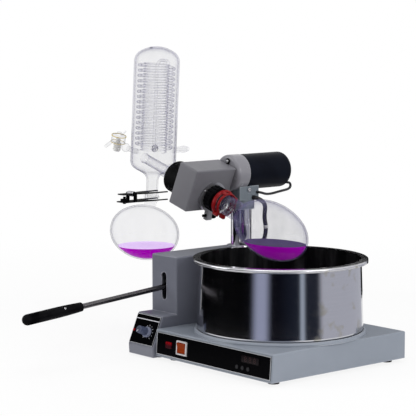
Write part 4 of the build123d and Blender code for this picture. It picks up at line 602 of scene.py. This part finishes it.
# The display's figures: three unlit figures of dull red plastic behind the dark window. Each is seven slim
# bars with pointed ends, cut as thin plates; one figure is made and copied to both sides.
FIGURE_W, FIGURE_H, FIGURE_STEP, FIGURE_BACK = 0.0042, 0.0072, 0.0105, 0.00035
BAR_W, BAR_T = 0.0007, 0.0001
LEVEL_BARS = ((1, 0, False), (0, 0, False), (-1, 0, False))
UPRIGHT_BARS = ((0.5, 1, True), (0.5, -1, True), (-0.5, 1, True), (-0.5, -1, True))
figure_dim, figure_shader, place = finish("figure_dim", Roughness=0.3, Specular_IOR_Level=0.2)
feed(figure_shader, Base_Color=place.noise(200.0).mix((0.030, 0.012, 0.014), (0.05, 0.02, 0.022)))
window_low, window_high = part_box("display_window")
window_spot = (Vector(window_low) + Vector(window_high)) / 2
window_spot.y = window_low[1] + FIGURE_BACK


def joined(pieces):
    """Makes one object of several."""
    bpy.ops.object.select_all(action="DESELECT")
    for piece in pieces:
        piece.select_set(True)
    bpy.context.view_layer.objects.active = pieces[0]
    bpy.ops.object.join()
    return pieces[0]


def twin(piece, matrix):
    """A copy of a piece with a mesh of its own, at another place."""
    copy = piece.copy()
    copy.data = piece.data.copy()
    copy.data.transform(matrix)
    bpy.context.scene.collection.objects.link(copy)
    return copy


bars = []
for row, side, upright in LEVEL_BARS + UPRIGHT_BARS:
    reach = (FIGURE_H if upright else FIGURE_W * 2) / 2 - BAR_W * 1.3
    bars.append(plate(BAR_W, reach) if upright else plate(reach, BAR_W))
    bpy.ops.mesh.bevel(offset=BAR_W * 0.45, segments=1, affect="VERTICES")
    bpy.ops.transform.translate(value=(side * FIGURE_W / 2, row * FIGURE_H / 2, 0.0))
    thicken(BAR_T)
    object_mode()
figure = joined(bars)
beside = [twin(figure, Matrix.Translation((step, 0.0, 0.0))) for step in (-FIGURE_STEP, FIGURE_STEP)]
figure_face = on_face(window_spot, (1, 0, 0), LEAN)
figures = settle(joined([figure, *beside]), "display_figures", figure_dim, figure_face)
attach(figures, "stand")

# The stand's housing: one folded and welded sheet in the same powder coat, a shade bluer and darker, with
# the sloped control box in front and the slotted column behind it. The post's bush is painted with it.
housing_grey = powder_coat(
    "housing_grey", (0.150, 0.157, 0.195), (0.172, 0.179, 0.218), (0.42, 0.42, 0.48), 0.34, 0.5
)
coat(housing_grey, "stand_housing", "upper_post_bush")
coat(turned_steel, "stand_floor_plate")
plain_black, black_shader, place = finish("plain_black", Specular_IOR_Level=0.02)
grain = place.noise(900.0, 2.0)
feed(
    black_shader,
    Base_Color=place.noise(40.0, 3.0).between(0.3, 0.7).mix((0.0018, 0.0018, 0.0022), (0.005, 0.005, 0.006)),
    Roughness=0.36 + grain * 0.14,
    Normal=bump(grain, 0.00006),
)
coat(plain_black, "cable_grommet", "speed_potentiometer", "lower_post_guide")

# The speed panel: gloss black with a bright edge, a pale line near its top that is a painted highlight of the
# housing's lit edge, fine marks round the knob and a ribbed grey knob with a pale skirt and pointer on the
# spindle of its potentiometer.
SLOPE = Vector((0.0, -0.9196, 0.3928))
KNOB_FOOT = Vector((-0.0039, -0.03439, 0.04192))
KNOB_H, KNOB_SWEEP = 0.021, 280.0
SHEET_OVER, SHEET_T, SHEET_CORNER, SHEET_EDGE = 0.0036, 0.0011, 0.0010, 0.0002
speed_low, speed_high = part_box("speed_panel")
speed_w = speed_high[0] - speed_low[0]
speed_mid = (Vector(speed_low) + Vector(speed_high)) / 2
speed_l = (speed_high[2] - speed_low[2] - PANEL_T * SLOPE.z) / -SLOPE.y
sheet_w, sheet_l = speed_w + SHEET_OVER, speed_l + SHEET_OVER * 0.7
sheet = plate(sheet_w, sheet_l)
bpy.ops.mesh.bevel(offset=SHEET_CORNER, segments=3, affect="VERTICES")
raise_face(SHEET_T)
bpy.ops.mesh.bevel(offset=SHEET_EDGE, segments=2, affect="EDGES")
face_outward()
settle(sheet, "speed_sheet", panel_black, on_face(speed_mid - SLOPE * (PANEL_T / 2), (1, 0, 0), SLOPE))
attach(sheet, "stand")
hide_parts("speed_panel")
speed_face = on_face(speed_mid + SLOPE * (SHEET_T - PANEL_T / 2), (1, 0, 0), SLOPE)
cut_edge("speed_edge", speed_face, sheet_w, sheet_l, line=0.0007)
pale_print, print_shader, place = finish("pale_print", Roughness=0.45)
feed(print_shader, Base_Color=place.noise(260.0, 3.0).mix((0.55, 0.55, 0.60), (0.70, 0.70, 0.74)))
# A pale line near the panel's top, in the print's material: a painted highlight standing in for the housing's
# lit edge.
STRIPE_W, STRIPE_T, STRIPE_UP = 0.0014, 0.0003, 0.0208
painted_highlight_line = plate(sheet_w - 0.003, STRIPE_W)
thicken(STRIPE_T)
painted_highlight_spot = Vector((speed_mid.x, KNOB_FOOT.y, KNOB_FOOT.z)) + SLOPE.cross(Vector((1, 0, 0))) * STRIPE_UP
settle(painted_highlight_line, "speed_painted_highlight", pale_print, on_face(painted_highlight_spot, (1, 0, 0), SLOPE))
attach(painted_highlight_line, "stand")

MARK_W, MARK_T, MARK_RING, MARK_RISE = 0.0006, 0.0002, 0.0120, 0.0001
MARK_LAST = 10
marks = []
for length, numbers in ((0.0026, (0, 5, 10)), (0.0016, (1, 2, 3, 4, 6, 7, 8, 9))):
    mark = plate(MARK_W, length)
    bpy.ops.transform.translate(value=(0.0, MARK_RING, MARK_RISE))
    thicken(MARK_T)
    object_mode()
    for number in numbers:
        turn = math.radians((number / MARK_LAST - 0.5) * KNOB_SWEEP)
        marks.append(twin(mark, Matrix.Rotation(turn, 4, "Z")))
    bpy.data.objects.remove(mark)
dial = settle(joined(marks), "speed_marks", pale_print, on_face(KNOB_FOOT, (1, 0, 0), SLOPE))
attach(dial, "stand")

knob_grey, knob_shader, place = finish("knob_grey", Specular_IOR_Level=0.35)
knob_place = place.about(KNOB_FOOT, SLOPE)
rim = knob_place.off_axis().between(0.0068, 0.0088) * knob_place.parts()[2].between(0.008, 0.004)
tip = knob_place.off_axis().between(0.0056, 0.0040) * knob_place.parts()[2].between(0.0195, 0.0205)
feed(
    knob_shader,
    Base_Color=rim.mix(tip.mix((0.075, 0.090, 0.155), (0.045, 0.055, 0.10)), (0.24, 0.26, 0.36)),
    Roughness=0.34 + place.noise(800.0, 2.0) * 0.12,
)
coat(knob_grey, "speed_knob")
POINTER_W, POINTER_L, POINTER_T, POINTER_OUT = 0.0012, 0.0042, 0.0003, 0.0036
pointer = plate(POINTER_W, POINTER_L)
bpy.ops.mesh.bevel(offset=POINTER_W / 3, segments=3, affect="VERTICES")
thicken(POINTER_T)
bpy.ops.transform.translate(value=(0.0, POINTER_OUT, 0.0))
pointer_turn = Matrix.Rotation(math.radians(KNOB_SWEEP / 2), 4, "Z")
pointer_spot = KNOB_FOOT + SLOPE * KNOB_H
settle(pointer, "knob_pointer", pale_print, on_face(pointer_spot, (1, 0, 0), SLOPE) @ pointer_turn)
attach(pointer, "speed_knob")

# The lift: a dark steel rod with a black grip swings in the slot on a pivot pin, and its inner arm lifts the
# chromed post through a clevis. The grip is pinned with a small bright rivet.
rod_steel, rod_shader, place = finish("rod_steel", Base_Color=(0.10, 0.095, 0.10), Metallic=1.0)
feed(rod_shader, Roughness=0.18 + place.noise(160.0, 4.0) * 0.14)
coat(rod_steel, "lever_rod")
coat(plain_black, "lever_grip")
coat(turned_steel, "lever_hub", "lever_pivot_pin", "lift_pin", "lift_clevis")
post_chrome, post_shader, place = finish("post_chrome", Base_Color=(0.60, 0.59, 0.62), Metallic=1.0)
feed(post_shader, Roughness=0.06 + place.noise(90.0, 4.0) * 0.10)
coat(post_chrome, "lift_post")


def sunk_disc(radius, height, edge, segments, wall, sink):
    """A turned disc along z with a softened upper edge and a sunk middle."""
    disc = lone(bpy.ops.mesh.primitive_cylinder_add, vertices=32, radius=radius, depth=height)
    pick(disc, lambda centre, normal: normal.z > 0.9)
    bpy.ops.mesh.bevel(offset=edge, segments=segments, affect="EDGES")
    pick(disc, lambda centre, normal: normal.z > 0.999)
    bpy.ops.mesh.inset(thickness=wall)
    raise_face(-sink)
    return disc


def cap_screw(name, spot, outward, radius, height, body, material):
    """A turned cap screw with a sunk socket, its head standing on a face; sizes in millimetres."""
    radius, height = radius / 1000.0, height / 1000.0
    screw = sunk_disc(radius, height, radius * 0.16, 3, radius * 0.34, height * 0.6)
    outward = Vector(outward).normalized()
    settle(screw, name, material, along_line(Vector(spot) / 1000.0 + outward * height / 2, outward))
    bpy.ops.object.shade_smooth_by_angle(angle=SMOOTH_ANGLE)
    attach(screw, body)


bright_steel, bright_shader, place = finish("bright_steel", Base_Color=(0.66, 0.66, 0.68), Metallic=1.0)
feed(bright_shader, Roughness=0.2 + place.noise(400.0, 3.0) * 0.12)
cap_screw("grip_rivet", (-7.4, -201.0, 100.6), (0.72, 0.0, 0.69), 1.8, 1.4, "lever", bright_steel)

# The head's bracket: a cast saddle clamped on the post, painted a bluish grey, with a fin along its top and
# a cap screw in each side that holds the gear head.
bracket_grey = powder_coat(
    "bracket_grey", (0.125, 0.15, 0.175), (0.15, 0.175, 0.20), (0.30, 0.33, 0.36), 0.35
)
coat(bracket_grey, "head_bracket")
cap_screw("bracket_screw_1", (8.6, 180.8, 268.0), (1.0, 0.0, 0.0), 3.4, 2.0, "column", turned_steel)
cap_screw("bracket_screw_2", (-35.4, 180.8, 268.0), (-1.0, 0.0, 0.0), 3.4, 2.0, "column", turned_steel)

# The gear head and motor: a turned housing with rounded shoulders, painted satin grey, and behind it the
# motor's smooth near-black can. A cap screw sits in a dark dish on the gear head's front.
gear_grey = powder_coat("gear_grey", (0.185, 0.182, 0.205), (0.215, 0.212, 0.235), (0.34, 0.34, 0.36), 0.26)
coat(gear_grey, "gear_head")
motor_black, motor_shader, place = finish("motor_black", Specular_IOR_Level=0.03)
can = place.noise(30.0, 3.0)
feed(
    motor_shader,
    Base_Color=can.between(0.3, 0.7).mix((0.0028, 0.0036, 0.0070), (0.0045, 0.0058, 0.0105)),
    Roughness=0.3 + place.noise(200.0, 3.0) * 0.12,
    Normal=bump(place.noise(1400.0, 1.0), 0.00004),
)
coat(motor_black, "motor_body")
DISH_SPOT = (-9.5, 147.4, 318.3)
dish = sunk_disc(radius=0.0050, height=0.0008, edge=0.0003, segments=2, wall=0.0008, sink=0.0005)
settle(dish, "screw_dish", plain_black, on_face(Vector(DISH_SPOT) / 1000.0, (1, 0, 0), (0, -1, 0)))
bpy.ops.object.shade_smooth_by_angle(angle=SMOOTH_ANGLE)
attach(dish, "head")
gear_screw_spot = (DISH_SPOT[0], DISH_SPOT[1] - 0.2, DISH_SPOT[2])
cap_screw("gear_screw", gear_screw_spot, (0.0, -1.0, 0.0), 2.7, 1.8, "head", turned_steel)

# The drive box: a cast box set square to the sloping flask shaft, in mid grey with a smooth satin coat. Its
# cover at the back is held with cap screws, and worm, wheel and bearings run inside.
head_grey = powder_coat(
    "head_grey", (0.135, 0.134, 0.150), (0.155, 0.153, 0.170), (0.26, 0.26, 0.28), 0.4, 0.2
)
coat(head_grey, "drive_box", "drive_box_cover")
coat(turned_steel, "drive_worm", "shaft_bearings")
bronze, bronze_shader, place = finish("bronze", Base_Color=(0.55, 0.40, 0.16), Metallic=1.0)
feed(bronze_shader, Roughness=0.28 + place.noise(240.0, 3.0) * 0.12)
coat(bronze, "worm_wheel")
for number, (x, z) in enumerate(((-53.6, 252.6), (-22.0, 243.3), (-47.5, 291.5))):
    cap_screw(f"cover_screw_{number + 1}", (x, 147.4, z), (0.0, 1.0, 0.0), 2.6, 1.8, "head", turned_steel)

# The flask's drive end: a dark metal collar with its thumb screw, the ribbed black nut that pushes the flask
# off its cone, the hollow glass shaft, and the red spring clip that holds the flask's joint.
collar_metal, collar_shader, place = finish("collar_metal", Base_Color=(0.34, 0.34, 0.36), Metallic=0.9)
feed(collar_shader, Roughness=0.26 + place.noise(260.0, 3.0) * 0.16)
coat(collar_metal, "seal_collar")
coat(plain_black, "flask_nut", "collar_screw")
cap_screw("collar_set_screw", (-1.0, 88.6, 271.0), (0.9588, 0.0, -0.284), 2.6, 1.6, "head", bright_steel)
clip_red = moulding("clip_red", (0.22, 0.003, 0.005), 0.28, Specular_IOR_Level=0.14)


def glass(name, edge, thin, thick, rise, face=None):
    """Clear glass whose wall grows denser from its face towards its edge, with faint draw lines."""
    material, shader, place = finish(name, Roughness=0.03, IOR=1.47)
    facing = place.make("ShaderNodeLayerWeight", None, {"Blend": 0.5}, out=1)
    wall = facing ** rise * (thick - thin) + thin
    feed(
        shader,
        Base_Color=facing.between(0.25, 0.75).mix(face or edge, edge),
        Alpha=wall * (0.55 + place.stretched((75.0, 75.0, 7.0)).noise(1.0, 3.0) * 0.9),
    )
    return material


coat(glass("tube_glass", (0.20, 0.19, 0.23), 0.16, 0.75, 2.0), "hollow_shaft")


def wound(ring_radius, half_size, sides, steps, sweep=360.0, pitch=0.0, turns=1):
    """A bar or tube bent round the z axis: an outline swept by the Screw modifier and closed at its ends."""
    bent = lone(
        bpy.ops.mesh.primitive_circle_add,
        vertices=sides,
        radius=1.0,
        fill_type="NOTHING",
        rotation=(math.radians(90.0), 0.0, 0.0),
    )
    outline = Matrix.Diagonal((half_size[0], 1.0, half_size[1], 1.0))
    settle(bent, "bent_bar", None, Matrix.Translation((ring_radius, 0.0, 0.0)) @ outline)
    screw = bent.modifiers.new("sweep", "SCREW")
    screw.angle = math.radians(sweep)
    screw.screw_offset = pitch
    screw.iterations = turns
    screw.steps = steps
    screw.render_steps = steps
    bpy.ops.object.modifier_apply(modifier=screw.name)
    bpy.ops.object.mode_set(mode="EDIT")
    bpy.ops.mesh.select_all(action="SELECT")
    bpy.ops.mesh.remove_doubles(threshold=0.000001)
    bpy.ops.mesh.fill_holes(sides=sides + 1)
    face_outward()
    object_mode()
    bpy.ops.object.shade_smooth_by_angle(angle=SMOOTH_ANGLE)
    return bent


SHAFT_FROM = Vector((-0.0134, 0.1094, 0.2616))
SHAFT_DIR = Vector((0.9588, 0.0, -0.2840))
CLIP_GAP = 34.0
CLIP_FACING = Vector((-0.2633, -0.3746, -0.8890))
TAB_W, TAB_EDGE, TAB_SEAT, TAB_ALONG = 0.0066, 0.0022, 0.0187, 0.0412
clip_parts = []
for along, radius, half in ((0.0362, 0.0208, (0.0026, 0.0042)), (0.0462, 0.0194, (0.0018, 0.0026))):
    hoop = wound(radius, half, sides=10, steps=44, sweep=360.0 - CLIP_GAP)
    hoop.data.transform(Matrix.Translation((0.0, 0.0, along)))
    clip_parts.append(hoop)
for turn, reach, span in (
    (5.0, 0.0078, 0.0120),
    (-CLIP_GAP - 5.0, 0.0078, 0.0120),
    (118.0, 0.0050, 0.0150),
    (205.0, 0.0050, 0.0150),
):
    tab = lone(bpy.ops.mesh.primitive_cube_add, size=1.0)
    pick(tab, every_face)
    bpy.ops.transform.resize(value=(reach, TAB_W, span))
    bpy.ops.mesh.bevel(offset=TAB_EDGE, segments=4, affect="EDGES")
    object_mode()
    bpy.ops.object.shade_smooth()
    tab_seat = Matrix.Translation((TAB_SEAT + reach / 2, 0.0, TAB_ALONG))
    tab.data.transform(Matrix.Rotation(math.radians(turn), 4, "Z") @ tab_seat)
    clip_parts.append(tab)
clip_across = (CLIP_FACING - SHAFT_DIR * CLIP_FACING.dot(SHAFT_DIR)).normalized()
clip_turn = Matrix.Rotation(math.radians(CLIP_GAP / 2), 4, "Z")
spring_clip = settle(
    joined(clip_parts), "spring_clip", clip_red, on_face(SHAFT_FROM, clip_across, SHAFT_DIR) @ clip_turn
)
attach(spring_clip, "rotor")
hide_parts("joint_clip")

# The flasks: blown glass, clear where it is seen square on and lilac grey at its edges, where the sight line
# runs in the wall; the evaporating flask also carries a lilac grey veil on its face, partly glass tint and
# partly a painted reflection of grey surroundings. Each holds a deep violet solution with a painted glow, an
# emission though it is no lamp; the receiver's solution has its top painted a pale mauve with a pale
# emission, a painted reflection.
# The evaporating flask's dense face veil is partly glass tint, partly a painted reflection of grey
# surroundings.
flask_glass_and_reflection = glass("flask_glass_and_reflection", (0.14, 0.13, 0.29), 0.100, 0.85, 5.0, face=(0.030, 0.026, 0.090))
coat(flask_glass_and_reflection, "evaporating_flask")
receiver_glass = glass("receiver_glass", (0.13, 0.12, 0.25), 0.040, 0.85, 8.0, face=(0.04, 0.04, 0.15))
coat(receiver_glass, "receiving_flask")
# Both solutions get an emission, a painted glow: they shine violet though they are no lamp.
for vessel, surface, shine, glow in (
    ("evaporating_liquid", (0.11, 0.085, 0.18), (0.0, 0.0, 0.0), 0.40),
    ("receiving_liquid", (0.80, 0.64, 0.95), (0.44, 0.28, 0.56), 0.56),
):
    violet, violet_shader, place = finish(vessel, IOR=1.34, Specular_IOR_Level=0.0, Emission_Strength=glow)
    # Top faces get their own colour and emission: pale mauve in the receiver, a painted reflection; darker
    # and without glow in the evaporating flask.
    upward = place.make("ShaderNodeNewGeometry", out=1).parts()[2].between(0.7, 0.95)
    deep = place.noise(24.0, 3.0).between(0.3, 0.7).mix((0.20, 0.0, 0.24), (0.28, 0.0, 0.33))
    feed(
        violet_shader,
        Base_Color=upward.mix(deep, surface),
        Emission_Color=upward.mix((0.40, 0.0, 0.47), shine),
        Roughness=0.05 + place.noise(60.0) * 0.05,
    )
    coat(violet, vessel)

# The condenser: a tall glass jacket on the black union, with a wide cooling coil in the CAD and a finer coil
# inside it, both of drawn glass tube, through which the cooling water runs.
coat(plain_black, "condenser_union")
jacket_glass = glass("jacket_glass", (0.13, 0.12, 0.26), 0.050, 0.97, 5.0, face=(0.045, 0.045, 0.13))
coat(jacket_glass, "condenser_jacket")
coil_glass = glass("coil_glass", (0.17, 0.16, 0.30), 0.012, 0.80, 2.9)
coat(coil_glass, "cooling_coil")
CONDENSER_FOOT = Vector((-0.17137, 0.1094, 0.2475))
CONDENSER_AXIS = Vector((0.0663, 0.0, 0.9978))
INNER_COIL_R, INNER_TUBE_R, INNER_PITCH, INNER_TURNS, INNER_START = 0.0225, 0.0012, 0.00465, 34, 0.080
inner_size = (INNER_TUBE_R, INNER_TUBE_R)
inner_coil = wound(INNER_COIL_R, inner_size, sides=10, steps=28, pitch=INNER_PITCH, turns=INNER_TURNS)
inner_foot = CONDENSER_FOOT + CONDENSER_AXIS * INNER_START
settle(inner_coil, "inner_coil", coil_glass, along_line(inner_foot, CONDENSER_AXIS))
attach(inner_coil, "head")

# The vapour tube: drawn glass that carries the vapour from the arm's flange into the jacket, below the
# coils. It is flared where it is fused into the arm and has a fire-polished lip at its open end.
TUBE_START = Vector((-0.1171, 0.1094, 0.2923))
TUBE_R, TUBE_WALL = 0.0101, 0.0012
vapour_tube = lone(bpy.ops.mesh.primitive_circle_add, vertices=40, radius=TUBE_R, fill_type="NOTHING")
bpy.ops.object.mode_set(mode="EDIT")
for rise, grow in (
    (0.003, 0.90),
    (0.005, 0.94),
    (0.066, 1.0),
    (0.0025, 1.05),
    (0.0015, 1.07),
    (0.0010, 0.98),
):
    bpy.ops.mesh.extrude_edges_move(TRANSFORM_OT_translate={"value": (0.0, 0.0, rise)})
    bpy.ops.transform.resize(value=(grow, grow, 1.0))
settle(vapour_tube, "vapour_tube", coil_glass, along_line(TUBE_START, -SHAFT_DIR))
tube_wall = vapour_tube.modifiers.new("wall", "SOLIDIFY")
tube_wall.thickness = TUBE_WALL
tube_wall.offset = -1.0
bpy.ops.object.modifier_apply(modifier=tube_wall.name)
bpy.ops.object.mode_set(mode="EDIT")
face_outward()
object_mode()
bpy.ops.object.shade_smooth_by_angle(angle=math.radians(50.0))
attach(vapour_tube, "head")

# The jacket's pip: the small bead of thick dark glass left on the dome where the jacket was sealed. It is
# flattened and fused to the dome.
PIP_R, PIP_SPOT = 0.0024, (-0.1610, 0.1010, 0.5118)
pip = lone(bpy.ops.mesh.primitive_uv_sphere_add, segments=20, ring_count=12, radius=PIP_R)
pick(pip, every_face)
bpy.ops.transform.resize(value=(1.3, 1.3, 0.7))
pip_glass = glass("pip_glass", (0.05, 0.045, 0.10), 0.5, 0.9, 1.5)
settle(pip, "jacket_pip", pip_glass, Matrix.Translation(PIP_SPOT))
bpy.ops.object.shade_smooth()
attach(pip, "head")

# The stopcock: a small glass barrel on the condenser's side with a white key, a gold coloured ring round its
# upper end and a thin one below.
coat(glass("cock_glass", (0.17, 0.165, 0.22), 0.05, 0.60, 2.6), "stopcock_body")
coat(moulding("key_white", (0.76, 0.76, 0.74), 0.35), "stopcock_key")
gold, gold_shader, place = finish("ring_gold", Specular_IOR_Level=0.4)
feed(
    gold_shader,
    Base_Color=place.noise(200.0, 3.0).mix((0.50, 0.36, 0.03), (0.66, 0.50, 0.08)),
    Roughness=0.3 + place.noise(500.0) * 0.1,
)
COCK_CENTRE = Vector((-0.2679, 0.1094, 0.3446))
COCK_AXIS = Vector((0.27564, 0.0, 0.96126))
COCK_RING_R = 0.01335
for number, (along, thickness) in enumerate(((0.0060, 0.0006), (-0.0064, 0.0004))):
    ring = lone(
        bpy.ops.mesh.primitive_torus_add,
        major_radius=COCK_RING_R,
        minor_radius=thickness * 0.7,
        major_segments=56,
        minor_segments=10,
    )
    pick(ring, every_face)
    bpy.ops.transform.resize(value=(1.0, 1.0, 1.7))
    ring_place = along_line(COCK_CENTRE + COCK_AXIS * along, COCK_AXIS)
    settle(ring, f"stopcock_ring_{number + 1}", gold, ring_place)
    bpy.ops.object.shade_smooth()
    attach(ring, "head")

# The receiver's clamp: two black forks on a hinge with a screw and a small spring round the hinge pin, which
# hold the ball joint of the receiving flask together.
coat(plain_black, "clamp_lower_fork", "clamp_upper_fork", "clamp_screw")
SPRING_R, WIRE_R, SPRING_TURNS, SPRING_PITCH = 0.0042, 0.0006, 9, 0.0018
spring = wound(SPRING_R, (WIRE_R, WIRE_R), sides=8, steps=24, pitch=SPRING_PITCH, turns=SPRING_TURNS)
spring_turn = Matrix.Rotation(math.radians(90.0), 4, "Y")
spring_spot = Vector((CONDENSER_FOOT.x - SPRING_TURNS * SPRING_PITCH / 2, 0.0634, 0.2547))
settle(spring, "clamp_spring", turned_steel, Matrix.Translation(spring_spot) @ spring_turn)
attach(spring, "head")
